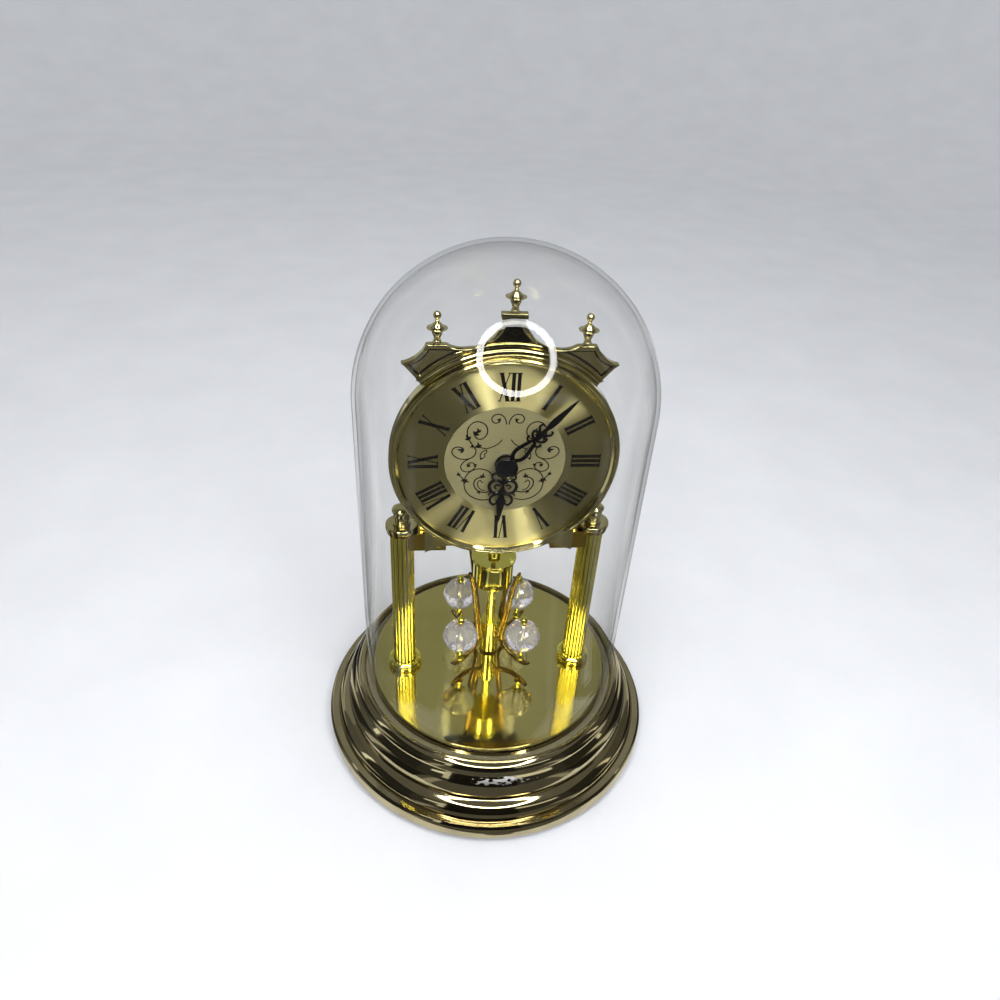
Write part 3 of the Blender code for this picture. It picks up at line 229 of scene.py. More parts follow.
def arc(start, end, bulge, pieces):
    """Points from start to end on a circular arc that stands bulge out to the left of its chord."""
    start = Vector(start)
    end = Vector(end)
    half = (end - start).length / 2
    sweep = 4 * math.atan(abs(bulge) / half)
    radius = half / math.sin(sweep / 2)
    side = math.copysign(1, bulge)
    left = Vector((start.y - end.y, end.x - start.x)).normalized() * side
    centre = (start + end) / 2 - left * radius * math.cos(sweep / 2)
    first = math.atan2(start.y - centre.y, start.x - centre.x)
    turns = [first - side * sweep * step / pieces for step in range(pieces + 1)]
    return round_points(centre, radius, turns)


def rounded(corners, pieces=6):
    """The closed outline through the corners (x, y, fillet), each corner rounded by its fillet."""
    points = []
    count = len(corners)
    for step, (x, y, fillet) in enumerate(corners):
        here = Vector((x, y))
        back = Vector(corners[step - 1][:2]) - here
        onward = Vector(corners[(step + 1) % count][:2]) - here
        angle = back.angle(onward)
        if fillet <= 0 or angle > math.pi - 0.01:
            points.append((x, y))
            continue
        room = 0.49 * min(back.length, onward.length)
        reach = min(fillet / math.tan(angle / 2), room)
        fillet = reach * math.tan(angle / 2)
        back.normalize()
        onward.normalize()
        centre = here + (back + onward).normalized() * fillet / math.sin(angle / 2)
        first = here + back * reach - centre
        last = here + onward * reach - centre
        start = math.atan2(first.y, first.x)
        sweep = (math.atan2(last.y, last.x) - start + math.pi) % (2 * math.pi) - math.pi
        turns = [start + sweep * piece / pieces for piece in range(pieces + 1)]
        points += round_points(centre, fillet, turns)
    return points


def smooth_line(knots, pieces=8):
    """A smooth line through the knots, with the same number of values in each point as in a knot."""
    knots = [Vector(knot) for knot in knots]
    points = []
    for step in range(len(knots) - 1):
        before = knots[max(step - 1, 0)]
        start = knots[step]
        end = knots[step + 1]
        after = knots[min(step + 2, len(knots) - 1)]
        for piece in range(pieces):
            t = piece / pieces
            into = (2 * start + (end - before) * t + (2 * before - 5 * start + 4 * end - after) * t**2)
            points.append((into + (3 * start - before - 3 * end + after) * t**3) / 2)
    return points + [knots[-1]]


def circle(radius, steps, centre=(0, 0)):
    return round_points(centre, radius, [TURN * step / steps for step in range(steps)])


def mirrored(right):
    """The right half of an outline, top to bottom, and its mirror image back to the top."""
    return right + [(-x, y) for x, y in reversed(right) if x > 1e-9]


def in_mm(points):
    return [tuple(value * MM for value in point) for point in points]


def ring_profile(inner, outer, low, high, fillet):
    corners = [(inner, high), (outer, high), (outer, low), (inner, low)]
    return rounded([(*corner, fillet) for corner in corners])


def disc_profile(radius, low, high, fillet):
    return rounded([(0, high, 0), (radius, high, fillet), (radius, low, fillet), (0, low, 0)])


# Meshes

def new_object(name, data):
    made = bpy.data.objects.new(name, data)
    bpy.context.scene.collection.objects.link(made)
    return made


def drawn(guide):
    """The mesh that a helper object shows, in place of the object."""
    graph = bpy.context.evaluated_depsgraph_get()
    made = bpy.data.meshes.new_from_object(guide.evaluated_get(graph))
    bpy.data.objects.remove(guide)
    return made


def weighted(mesh):
    """The mesh with the shading of its small faces following the large ones beside them."""
    name = mesh.name
    guide = new_object(name, mesh)
    guide.modifiers.new("weighted", "WEIGHTED_NORMAL").keep_sharp = True
    made = drawn(guide)
    bpy.data.meshes.remove(mesh)
    made.name = name
    return made


def finished_mesh(name, bm, sharp=SHARP):
    """The mesh of bm, smooth apart from edges sharper than the angle."""
    bmesh.ops.recalc_face_normals(bm, faces=bm.faces)
    mesh = bpy.data.meshes.new(name)
    bm.to_mesh(mesh)
    bm.free()
    mesh.shade_smooth()
    mesh.set_sharp_from_angle(angle=math.radians(sharp))
    return weighted(mesh)


def add_turned(bm, profile, steps, first=0.0, sweep=TURN):
    """Turns a closed profile (radius, height) about the Z axis, all the way round or over a sweep."""
    whole = sweep == TURN
    count = steps if whole else steps + 1
    rings = []
    for radius, height in profile:
        if radius < 1e-7:
            rings.append([bm.verts.new((0, 0, height))])
            continue
        turns = [first + sweep * step / steps for step in range(count)]
        corners = [(radius * math.cos(turn), radius * math.sin(turn), height) for turn in turns]
        rings.append([bm.verts.new(corner) for corner in corners])
    for ring, following in zip(rings, rings[1:] + rings[:1]):
        if len(ring) == 1 and len(following) == 1:
            continue
        for here in range(count if whole else count - 1):
            onward = (here + 1) % count
            corners = [
                ring[here % len(ring)], following[here % len(following)],
                following[onward % len(following)], ring[onward % len(ring)],
            ]
            bm.faces.new(list(dict.fromkeys(corners)))
    if not whole:
        bm.faces.new([ring[0] for ring in rings])
        bm.faces.new([ring[-1] for ring in reversed(rings)])


def turned_mesh(name, profile, steps, sharp=SHARP):
    bm = bmesh.new()
    add_turned(bm, profile, steps)
    return finished_mesh(name, bm, sharp)


def add_rows(bm, rows):
    """Joins rows of corners, each a closed loop, into a solid that the first and last rows close."""
    rows = [[bm.verts.new(corner) for corner in row] for row in rows]
    for row, following in zip(rows, rows[1:]):
        for step in range(len(row)):
            onward = (step + 1) % len(row)
            bm.faces.new([row[step], row[onward], following[onward], following[step]])
    bm.faces.new(rows[0][::-1])
    bm.faces.new(rows[-1])


def flat_mesh(name, outlines, low, high, edge, sharp=40):
    """A flat outline with any holes after it, its edges rounded by edge."""
    curve = bpy.data.curves.new(name, "CURVE")
    curve.dimensions = "2D"
    curve.fill_mode = "BOTH"
    curve.extrude = (high - low) / 2 - edge
    curve.bevel_depth = edge
    curve.bevel_resolution = 2
    curve.offset = -edge
    for outline in outlines:
        spline = curve.splines.new("POLY")
        spline.points.add(len(outline) - 1)
        for point, (x, y) in zip(spline.points, outline):
            point.co = (x, y, 0, 1)
        spline.use_cyclic_u = True
    mesh = drawn(new_object(name, curve))
    bm = bmesh.new()
    bm.from_mesh(mesh)
    bpy.data.meshes.remove(mesh)
    bmesh.ops.remove_doubles(bm, verts=bm.verts, dist=1e-7)
    bmesh.ops.translate(bm, vec=(0, 0, (low + high) / 2), verts=bm.verts)
    return finished_mesh(name, bm, sharp)


def steps_along(line):
    """Each point of a line, with the unit vector to its left."""
    line = [Vector(point) for point in line]
    for step, point in enumerate(line):
        along = (line[min(step + 1, len(line) - 1)] - line[max(step - 1, 0)]).to_2d().normalized()
        yield point, Vector((-along.y, along.x))


def add_stroke(bm, line, low, high):
    """A stroke along (x, y, half width) with a chamfered top, from low to high."""
    shoulder = high - (high - low) * STROKE_CHAMFER
    section = [(1, low), (1, shoulder), (1 - STROKE_CHAMFER, high)]
    section += [(-side, height) for side, height in reversed(section)]
    rows = []
    for point, left in steps_along(line):
        rows.append([(*(point.to_2d() + left * point.z * side), height) for side, height in section])
    add_rows(bm, rows)


def strokes_mesh(name, strokes, low, high):
    bm = bmesh.new()
    for line in strokes:
        add_stroke(bm, line, low, high)
    return finished_mesh(name, bm)


def bevelled_copy(node, width):
    """The mesh of a CAD node with its flat faces joined up and its edges softened."""
    bm = bmesh.new()
    bm.from_mesh(frame["nodes"][node].data)
    bmesh.ops.remove_doubles(bm, verts=bm.verts, dist=1e-6)
    bmesh.ops.dissolve_limit(bm, angle_limit=math.radians(1), verts=bm.verts, edges=bm.edges)
    edges = []
    for edge in bm.edges:
        if len(edge.link_faces) == 2 and edge.calc_face_angle() > math.radians(40):
            edges.append(edge)
    bmesh.ops.bevel(
        bm, geom=edges, offset=width, segments=2, profile=0.5, affect="EDGES", clamp_overlap=True
    )
    return finished_mesh(node + "_finish", bm)


def add_piece(mesh, finish, body, *nodes, place=UNMOVED):
    """A mesh as a piece of the clock that rides on a body and stands for CAD nodes."""
    piece = new_object(mesh.name, mesh)
    piece.matrix_world = place
    material = FINISH[finish]
    mesh.materials.append(material)
    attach(piece, body)
    if nodes:
        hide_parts(*nodes)


def add_to_dial(mesh, finish, *nodes):
    add_piece(mesh, finish, "stand", *nodes, place=DIAL_FRAME)


def piece_name(node):
    """The node's name with the word finish at its end, or before its side or number."""
    stem, _, last = node.rpartition("_")
    if last in ("left", "right", "top") or last.isdigit():
        return stem + "_finish_" + last
    return node + "_finish"


def add_turning(node, finish, profile, steps=MEDIUM_STEPS, place=UNMOVED, body="stand", sharp=SHARP):
    """A turned piece in the place of a CAD node."""
    add_piece(turned_mesh(piece_name(node), profile, steps, sharp), finish, body, node, place=place)


# Materials

def feed(tree, node, inputs):
    """Gives inputs of a node a value each, or a link where the value is another node's output."""
    for socket, value in inputs.items():
        if isinstance(value, bpy.types.NodeSocket):
            tree.links.new(value, node.inputs[socket])
        else:
            node.inputs[socket].default_value = value


def add_node(tree, kind, inputs, output=0, **settings):
    """The output of a new shader node with those inputs and settings."""
    made = tree.nodes.new("ShaderNode" + kind)
    for name, value in settings.items():
        setattr(made, name, value)
    feed(tree, made, inputs)
    return made.outputs[output]


def new_material(name, slot):
    made = bpy.data.materials.new(name)
    made.use_nodes = True
    made["slot"] = slot
    return made, made.node_tree, made.node_tree.nodes["Principled BSDF"]


def own_place(tree):
    """The point that is shaded, in the piece's own coordinates."""
    return add_node(tree, "TexCoord", {}, "Object")


def from_axis(tree):
    """Its distance from the piece's Z axis."""
    flat = add_node(tree, "VectorMath", {0: own_place(tree), 1: (1, 1, 0)}, operation="MULTIPLY")
    return add_node(tree, "VectorMath", {0: flat}, "Value", operation="LENGTH")


def grain(tree, size, detail=3.0, stretch=(1, 1, 1), shift=0.0):
    """Noise with features of that size."""
    inputs = {"Vector": own_place(tree), "Scale": stretch, "Location": (shift,) * 3}
    place = add_node(tree, "Mapping", inputs)
    return add_node(tree, "TexNoise", {"Scale": 1 / size, "Detail": detail, "Vector": place})


def rings(tree, size, detail):
    """Noise that changes only with the distance from the Z axis, as turning marks do."""
    inputs = {"W": from_axis(tree), "Scale": 1 / size, "Detail": detail}
    return add_node(tree, "TexNoise", inputs, noise_dimensions="1D")


def spread(tree, source, low, high, from_low=0.3, from_high=0.7):
    """Maps the source to values from low to high."""
    ends = {"From Min": from_low, "From Max": from_high, "To Min": low, "To Max": high}
    return add_node(tree, "MapRange", {"Value": source, **ends})


def tint(tree, source, low, high, from_low=0.3, from_high=0.7):
    """Maps the source to colours from low to high."""
    ramp = tree.nodes.new("ShaderNodeValToRGB")
    for element, place, colour in zip(ramp.color_ramp.elements, (from_low, from_high), (low, high)):
        element.position = place
        element.color = (*colour, 1)
    feed(tree, ramp, {"Fac": source})
    return ramp.outputs["Color"]


def bump(tree, shader, source, depth, strength=1.0):
    inputs = {"Distance": depth, "Strength": strength, "Height": source}
    feed(tree, shader, {"Normal": add_node(tree, "Bump", inputs)})


def polished(name, slot, deep, bright, rough, smear=9 * MM):
    """Lacquered or plated metal: cloudy tone, smears in the polish and a faint unevenness."""
    made, tree, shader = new_material(name, slot)
    tone = tint(tree, grain(tree, smear * 1.7, shift=3.1), deep, bright)
    haze = spread(tree, grain(tree, smear, 6.0), *rough)
    feed(tree, shader, {"Metallic": 1.0, "Base Color": tone, "Roughness": haze})
    bump(tree, shader, grain(tree, 2.4 * MM, 2.0, shift=7.7), 0.004 * MM, 0.5)
    return made


def paint_over(material, share, colour):
    """Covers the material's own colour with another where the share is 1."""
    tree = material.node_tree
    shader = tree.nodes["Principled BSDF"]
    own = shader.inputs["Base Color"].links[0].from_socket
    inputs = {"Factor": share, "A": own, "B": (*colour, 1)}
    feed(tree, shader, {"Base Color": add_node(tree, "Mix", inputs, "Result", data_type="RGBA")})


def reeded_gold(name):
    """Polished gold, painted darker brown in the grooves between the reeds as shade."""
    made = polished(name, "gold", (0.80, 0.71, 0.12), (0.92, 0.84, 0.19), (0.03, 0.08))
    tree = made.node_tree
    crest = COLUMN_RADIUS - 0.45 * REED_DEPTH
    painted_groove_shade = spread(tree, from_axis(tree), 1, 0, COLUMN_RADIUS - REED_DEPTH, crest)
    # Painted shade: the grooves between the reeds are painted dark brown.
    paint_over(made, painted_groove_shade, (0.16, 0.10, 0.012))
    return made


def worn_base(name):
    """Dull nickel brass, with silver specks in front where the lacquer has gone."""
    made = polished(name, "base_brass", (0.43, 0.365, 0.20), (0.53, 0.46, 0.26), (0.04, 0.10))
    tree = made.node_tree
    squeezed = add_node(tree, "Mapping", {"Vector": own_place(tree), "Scale": (0.15, 1, 1.3)})
    patch = (0, -63.3 * MM, 32.6 * MM)
    away = add_node(tree, "VectorMath", {0: squeezed, 1: patch}, "Value", operation="DISTANCE")
    near = spread(tree, away, 0.17, -0.32, 0.8 * MM, 4.6 * MM)
    flakes = grain(tree, 1.1 * MM, 10.0, (0.45, 1, 1.2), 1.9)
    worn = spread(tree, add_node(tree, "Math", {0: near, 1: flakes}, operation="ADD"), 0, 1, 0.57, 0.66)
    paint_over(made, worn, (0.50, 0.49, 0.48))
    shader = tree.nodes["Principled BSDF"]
    haze = shader.inputs["Roughness"].links[0].from_socket
    rough = add_node(tree, "Math", {0: worn, 1: 0.45, 2: haze}, operation="MULTIPLY_ADD")
    feed(tree, shader, {"Roughness": rough})
    return made


def plain(name, slot, low, high, rough, size, depth, metallic, shine):
    """Plastic, rubber, paint or cloth: fine variation of tone and gloss, and a grain of that depth."""
    made, tree, shader = new_material(name, slot)
    fine = grain(tree, size, 5.0)
    gloss = spread(tree, grain(tree, size * 6), *rough)
    tone = tint(tree, fine, low, high)
    feed(tree, shader, {"Metallic": metallic, "Specular IOR Level": shine})
    feed(tree, shader, {"Base Color": tone, "Roughness": gloss})
    bump(tree, shader, fine, depth)
    return made


def show(tree, surface):
    feed(tree, tree.nodes["Material Output"], {"Surface": surface})


def thin_glass(name, slot):
    """A thin clear wall: it shows what is behind it unbent and mirrors more the flatter it is seen."""
    made, tree, shader = new_material(name, slot)
    tree.nodes.remove(shader)
    tone = tint(tree, grain(tree, 40 * MM), (0.972, 0.972, 0.968), (0.988, 0.988, 0.985))
    through = add_node(tree, "BsdfTransparent", {"Color": tone})
    haze = spread(tree, grain(tree, 25 * MM, 5.0), 0.0, 0.035)
    mirror = add_node(tree, "BsdfAnisotropic", {"Roughness": haze})
    facing = add_node(tree, "LayerWeight", {}, "Facing")
    steep = add_node(tree, "Math", {0: facing, 1: 5}, operation="POWER")
    share = add_node(tree, "Math", {0: steep, 1: 0.5, 2: 0.019}, operation="MULTIPLY_ADD")
    show(tree, add_node(tree, "MixShader", {"Fac": share, 1: through, 2: mirror}))
    return made


def crystal_glass(name, slot, colour, index):
    """Solid clear glass that lets the lamps through to what it covers."""
    made, tree, shader = new_material(name, slot)
    tone = tint(tree, grain(tree, 3 * MM), colour, (0.99, 0.985, 1.0))
    haze = spread(tree, grain(tree, 1.5 * MM), 0.0, 0.04)
    feed(tree, shader, {"IOR": index, "Transmission Weight": 0.86})
    feed(tree, shader, {"Base Color": tone, "Roughness": haze})
    in_shadow = add_node(tree, "LightPath", {}, "Is Shadow Ray")
    through = add_node(tree, "BsdfTransparent", {"Color": (*colour, 1)})
    show(tree, add_node(tree, "MixShader", {"Fac": in_shadow, 1: shader.outputs["BSDF"], 2: through}))
    return made


def brushed_dial(name, circular):
    """Champagne dial metal, brushed in rings round the dial or in straight lines across it."""
    made, tree, shader = new_material(name, "dial")
    if circular:
        lines = rings(tree, 0.12 * MM, 4.0)
        along = add_node(tree, "Tangent", {}, direction_type="RADIAL", axis="Z")
        low, high, rough, stretched = (0.53, 0.47, 0.20), (0.68, 0.61, 0.29), (0.30, 0.42), 1.0
    else:
        lines = grain(tree, 0.10 * MM, 4.0, (0.02, 1, 1))
        along = add_node(tree, "Tangent", {}, direction_type="UV_MAP", uv_map="across")
        low, high, rough, stretched = (0.35, 0.315, 0.16), (0.435, 0.395, 0.215), (0.38, 0.48), 0.8
    feed(tree, shader, {"Anisotropic": stretched, "Anisotropic Rotation": 0.25, "Tangent": along})
    feed(tree, shader, {"Metallic": 1.0, "Base Color": tint(tree, lines, low, high)})
    feed(tree, shader, {"Roughness": spread(tree, lines, *rough)})
    bump(tree, shader, lines, 0.004 * MM, 0.4)
    return made


FINISH = {
    "base_brass": worn_base("base_brass_finish"),
    "reeded": reeded_gold("reeded_gold_finish"),
    "dial_ring": brushed_dial("dial_ring_finish", True),
    "dial_centre": brushed_dial("dial_centre_finish", False),
    "glass": thin_glass("dome_glass", "glass"),
    "crystal": crystal_glass("crystal_glass", "crystal", (0.985, 0.955, 1.0), 1.54),
}

# Metals: slot, deep and bright colour, roughness, size of the smears in mm
for finish, slot, deep, bright, rough, smear in (
    ("gold", "gold", (0.82, 0.74, 0.13), (0.93, 0.86, 0.20), (0.03, 0.09), 9),
    # Painted shade: the next finish is a darker copy of the gold, for the bridge bar.
    ("deep_gold", "gold", (0.52, 0.36, 0.07), (0.66, 0.48, 0.10), (0.05, 0.12), 9),
    # Painted shade: the next finish is a darker brown copy of the gold, for the pendulum arms.
    ("brown_gold", "gold", (0.36, 0.25, 0.065), (0.50, 0.37, 0.10), (0.05, 0.12), 9),
    ("pale_gold", "gold", (0.80, 0.72, 0.38), (0.90, 0.82, 0.46), (0.03, 0.07), 9),
    ("pale_brass", "pale_brass", (0.62, 0.55, 0.25), (0.72, 0.65, 0.32), (0.04, 0.11), 9),
    ("plate_brass", "plate_brass", (0.68, 0.60, 0.19), (0.77, 0.69, 0.25), (0.05, 0.10), 22),
    ("steel", "steel", (0.50, 0.50, 0.50), (0.62, 0.61, 0.60), (0.18, 0.32), 3),
):
    FINISH[finish] = polished(finish + "_finish", slot, deep, bright, rough, smear * MM)

# Other surfaces: name and slot, then dark and light colour, roughness, grain and its depth in mm,
# metallic and shine
for finish, name, slot, low, high, rough, size, depth, metallic, shine in (
    ("black", "black_enamel", "black",
     (0.003, 0.003, 0.003), (0.006, 0.005, 0.005), (0.06, 0.13), 0.8, 0.003, 0, 0.3),
    ("print", "dial_print", "black",
     (0.006, 0.005, 0.004), (0.014, 0.011, 0.008), (0.5, 0.6), 0.4, 0.002, 0, 0.1),
    ("rubber", "gasket_rubber", "rubber",
     (0.15, 0.135, 0.075), (0.21, 0.19, 0.11), (0.35, 0.5), 0.5, 0.02, 0, 0.5),
    ("felt", "green_felt", "felt",
     (0.012, 0.045, 0.022), (0.035, 0.11, 0.055), (0.9, 1.0), 0.35, 0.2, 0, 0.5),
    ("movement", "movement_plastic", "movement",
     (0.02, 0.02, 0.022), (0.032, 0.032, 0.034), (0.38, 0.55), 0.5, 0.015, 0, 0.5),
    ("nylon", "gear_nylon", "nylon",
     (0.74, 0.73, 0.66), (0.82, 0.81, 0.75), (0.4, 0.5), 0.6, 0.005, 0, 0.5),
    ("copper", "coil_copper", "copper",
     (0.50, 0.20, 0.09), (0.66, 0.30, 0.14), (0.25, 0.4), 0.2, 0.03, 1, 0.5),
    ("board", "circuit_resin", "board",
     (0.02, 0.13, 0.05), (0.04, 0.20, 0.08), (0.35, 0.5), 1.0, 0.01, 0, 0.5),
    ("battery", "battery_sleeve", "battery",
     (0.05, 0.07, 0.11), (0.08, 0.10, 0.15), (0.25, 0.4), 2.0, 0.005, 0.3, 0.5),
):
    FINISH[finish] = plain(name, slot, low, high, rough, size * MM, depth * MM, metallic, shine)


# Base

def shell_profile():
    """The spun shell from the edge of its centre hole out to the foot, and back up inside."""
    half = RIM_WIDTH / 2
    rim_outer = RIM_INNER + RIM_WIDTH
    outer = [
        (DECK_HOLE, DECK_TOP), (DECK_RADIUS - 0.3 * MM, DECK_TOP),
        (DECK_RADIUS, DECK_TOP - 0.3 * MM), (DECK_RADIUS, CHANNEL_FLOOR),
        (RIM_INNER, CHANNEL_FLOOR),
    ]
    outer += arc((RIM_INNER, RIM_TOP - half), (rim_outer, RIM_TOP - half), half, 14)
    steps = [(rim_outer, RIM_TOP - half)]
    for out, drop, bulge in in_mm(RIDGES):
        radius, height = steps[-1]
        steps.append((radius + out, height - drop))
        outer += arc(steps[-2], steps[-1], bulge, 12)[1:]
    bead_top = steps[-1][1]
    bead_edge = BASE_RADIUS - 0.1 * MM
    lip = BASE_RADIUS - 1.3 * MM
    shoulder = bead_top * 0.62
    heel = bead_top * 0.34
    sole = BASE_RADIUS - FOOT_IN
    within = BASE_RADIUS - SHELL_WALL
    outer += [(lip, bead_top)] + arc((lip, bead_top), (bead_edge, shoulder), 0.5 * MM, 6)[1:]
    outer += [(BASE_RADIUS, (shoulder + heel) / 2), (bead_edge, heel)]
    outer += arc((bead_edge, heel), (sole, 0), 0.3 * MM, 6)[1:] + [(sole - FOOT_WIDTH, 0)]
    inner = [
        (sole - FOOT_WIDTH, SHELL_WALL), (sole - SHELL_WALL, SHELL_WALL), (within, heel),
        (within, shoulder),
    ]
    inner += [(radius - SHELL_WALL, height - SHELL_WALL) for radius, height in reversed(steps)]
    side = DECK_RADIUS - SHELL_WALL
    inner += [(RIM_INNER, CHANNEL_FLOOR - SHELL_WALL), (side, CHANNEL_FLOOR - SHELL_WALL)]
    inner += [(side, DECK_TOP - SHELL_WALL), (DECK_HOLE, DECK_TOP - SHELL_WALL)]
    return outer + inner


def make_base():
    inner = PLATE_RADIUS + GASKET_PLAY
    for node, finish, profile, sharp in (
        ("base_shell", "base_brass", shell_profile(), 25),
        ("base_plate", "plate_brass", disc_profile(*spans("base_plate"), 0.35 * MM), SHARP),
        ("dome_gasket", "rubber", ring_profile(inner, *spans("dome_gasket"), 0.25 * MM), SHARP),
        ("bottom_cover", "movement", disc_profile(*spans("bottom_cover"), 0.3 * MM), SHARP),
        ("felt_pad", "felt", disc_profile(*spans("felt_pad"), 0.15 * MM), SHARP),
    ):
        add_turning(node, finish, profile, LARGE_STEPS, sharp=sharp)


def make_dome():
    inner = DOME_RADIUS - DOME_WALL
    spring = DOME_TOP - DOME_RADIUS
    arch = 1 - math.sqrt(2) / 2
    outside = arc((0, DOME_TOP), (DOME_RADIUS, spring), DOME_RADIUS * arch, 48)
    inside = arc((inner, spring), (0, DOME_TOP - DOME_WALL), -inner * arch, 48)
    half = DOME_WALL / 2
    rim = arc((DOME_RADIUS, DOME_BOTTOM + half), (inner, DOME_BOTTOM + half), half * 0.98, 10)
    add_turning("glass_dome", "glass", outside + rim + inside, LARGE_STEPS, body="dome", sharp=60)


# Columns

def reeded_outline():
    points = []
    for step in range(REEDS * REED_POINTS):
        turn = TURN * step / (REEDS * REED_POINTS)
        swell = abs(math.sin(turn * REEDS / 2)) ** 0.6
        radius = COLUMN_RADIUS - REED_DEPTH * (1 - swell)
        points.append((radius * math.cos(turn), radius * math.sin(turn)))
    return points


def cap_nut_profile():
    """Domed cap, neck, swelling body and foot."""
    r = CAP_NUT_RADIUS / MM
    corners = [
        (0, 8.0, 0), (r * 0.6, 7.85, 2.0), (r, 6.7, 0.9), (r * 0.98, 5.7, 0.4), (2.7, 5.2, 0.3),
        (2.7, 4.8, 0.3), (3.3, 3.9, 0.8), (3.35, 2.4, 0.8), (2.75, 1.0, 0.4), (2.9, 0.75, 0.2),
        (3.6, 0.6, 0.2), (3.6, 0, 0.1), (1.8, 0, 0), (1.8, 3.5, 0), (0, 3.5, 0),
    ]
    return rounded(in_mm(corners))


def collar_profile(low, high):
    """Ring round the column's foot with both of its edges drawn in."""
    bore = COLUMN_RADIUS + 0.3 * MM
    corners = [
        (bore, high, 0), (bore + 0.9 * MM, high, 0.3 * MM),
        (COLLAR_RADIUS, high - 0.7 * MM, 1.2 * MM), (COLLAR_RADIUS, low + 0.3 * MM, 1.2 * MM),
        (COLLAR_RADIUS - 0.9 * MM, low, 0.3 * MM), (bore, low, 0),
    ]
    return rounded(corners)


def make_columns():
    for word in ("left", "right"):
        column = "column_" + word
        middle = centre_of(column)
        axis = Matrix.Translation((middle.x, middle.y, 0))
        _, low, high = spans(column)
        outlines = [reeded_outline(), circle(ROD_HOLE, SMALL_STEPS)]
        shaft = flat_mesh(piece_name(column), outlines, low, high, 0.05 * MM, 60)
        add_piece(shaft, "reeded", "stand", column, place=axis)
        _, low, high = spans("column_foot_" + word)
        add_turning("column_foot_" + word, "gold", collar_profile(low, high), place=axis)
        _, low, high = spans("capital_" + word)
        profile = ring_profile(ROD_HOLE, CAPITAL_RADIUS, low, high, 0.5 * MM)
        add_turning("capital_" + word, "pale_brass", profile, place=axis)
        seat = axis @ Matrix.Translation((0, 0, spans("cap_nut_" + word)[1]))
        add_turning("cap_nut_" + word, "pale_brass", cap_nut_profile(), place=seat)


# Dial, case and bezel

def make_case():
    inner = CASE_RADIUS - CASE_WALL
    ledge = inner - 1.6 * MM
    floor = CASE_BACK + 1.0 * MM
    seat = DIAL_BACK - 0.3 * MM
    corners = [
        (inner, CASE_FRONT, 0.2 * MM), (CASE_RADIUS, CASE_FRONT, 0.35 * MM),
        (CASE_RADIUS, CASE_BACK, 0.8 * MM), (CENTRE_HOLE, CASE_BACK, 0.1 * MM),
        (CENTRE_HOLE, floor, 0.1 * MM), (ledge, floor, 0), (ledge, seat, 0), (inner, seat, 0),
    ]
    add_turning("dial_case", "pale_brass", rounded(corners), LARGE_STEPS, DIAL_FRAME)

    low = CASE_LOW - DIAL_Z
    middle = CASE_RADIUS - CASE_WALL / 2
    for side, word in ((-1, "left"), (1, "right")):
        outline = [(side * FOOT_OUTER, low), (side * FOOT_INNER, low + FOOT_CORNER_RISE)]
        for step in range(7):
            x = FOOT_TOP_INNER + (FOOT_OUTER - FOOT_TOP_INNER) * step / 6
            outline.append((side * x, -math.sqrt(middle**2 - x**2)))
        foot = flat_mesh("case_foot_" + word, [outline], FOOT_BACK, FOOT_FRONT, 0.15 * MM)
        add_to_dial(foot, "pale_brass")


def make_bezel():
    inside = in_mm([(0, 11.5, 0.15), (0.8, 12.4, 0.2), (1.15, 12.2, 0.12), (1.5, 12.9, 0.3)])
    corners = [(BEZEL_INNER, BEZEL_LIP, 0)]
    corners += [(BEZEL_INNER + out, height, fillet) for out, height, fillet in inside]
    corners += [(BEZEL_OUTER - 0.5 * MM, BEZEL_FRONT, 0.4 * MM), (BEZEL_OUTER, 12.6 * MM, 0.35 * MM)]
    corners += [(BEZEL_OUTER, BEZEL_FLANGE, 0.1 * MM), (DIAL_RADIUS, BEZEL_FLANGE, 0)]
    corners += [(DIAL_RADIUS, BEZEL_LIP, 0)]
    add_turning("bezel", "pale_brass", rounded(corners), LARGE_STEPS, DIAL_FRAME, sharp=40)


def make_dial():
    """The plate's outer ring, and its centre with the map that its brushing follows."""
    profile = ring_profile(CENTRE_DISC, DIAL_RADIUS, DIAL_BACK, DIAL_FRONT, 0.02 * MM)
    ring = turned_mesh("dial_ring", profile, LARGE_STEPS)
    add_to_dial(ring, "dial_ring", "dial_plate")
    edge = CENTRE_DISC - 0.05 * MM
    profile = ring_profile(CENTRE_HOLE, edge, DIAL_BACK, DIAL_FRONT - 0.03 * MM, 0.02 * MM)
    centre = turned_mesh("dial_centre", profile, LARGE_STEPS)
    across = centre.uv_layers.new(name="across")
    for loop in centre.loops:
        place = centre.vertices[loop.vertex_index].co
        across.data[loop.index].uv = (place.x * 10, place.y * 10)
    add_to_dial(centre, "dial_centre")


def slanted(top, foot, width):
    """A straight stroke between two places on the letter's edges, its ends cut level."""
    half = NUMERAL_HEIGHT / 2
    reach = width / 2 * math.hypot(top - foot, NUMERAL_HEIGHT) / NUMERAL_HEIGHT
    return [(top - reach, half), (top + reach, half), (foot + reach, -half), (foot - reach, -half)]


def serif(left, right, level):
    """A thin bar across the ends of a letter's strokes, inside its height."""
    low = level - SERIF if level > 0 else level
    return [(left, low), (right, low), (right, low + SERIF), (left, low + SERIF)]


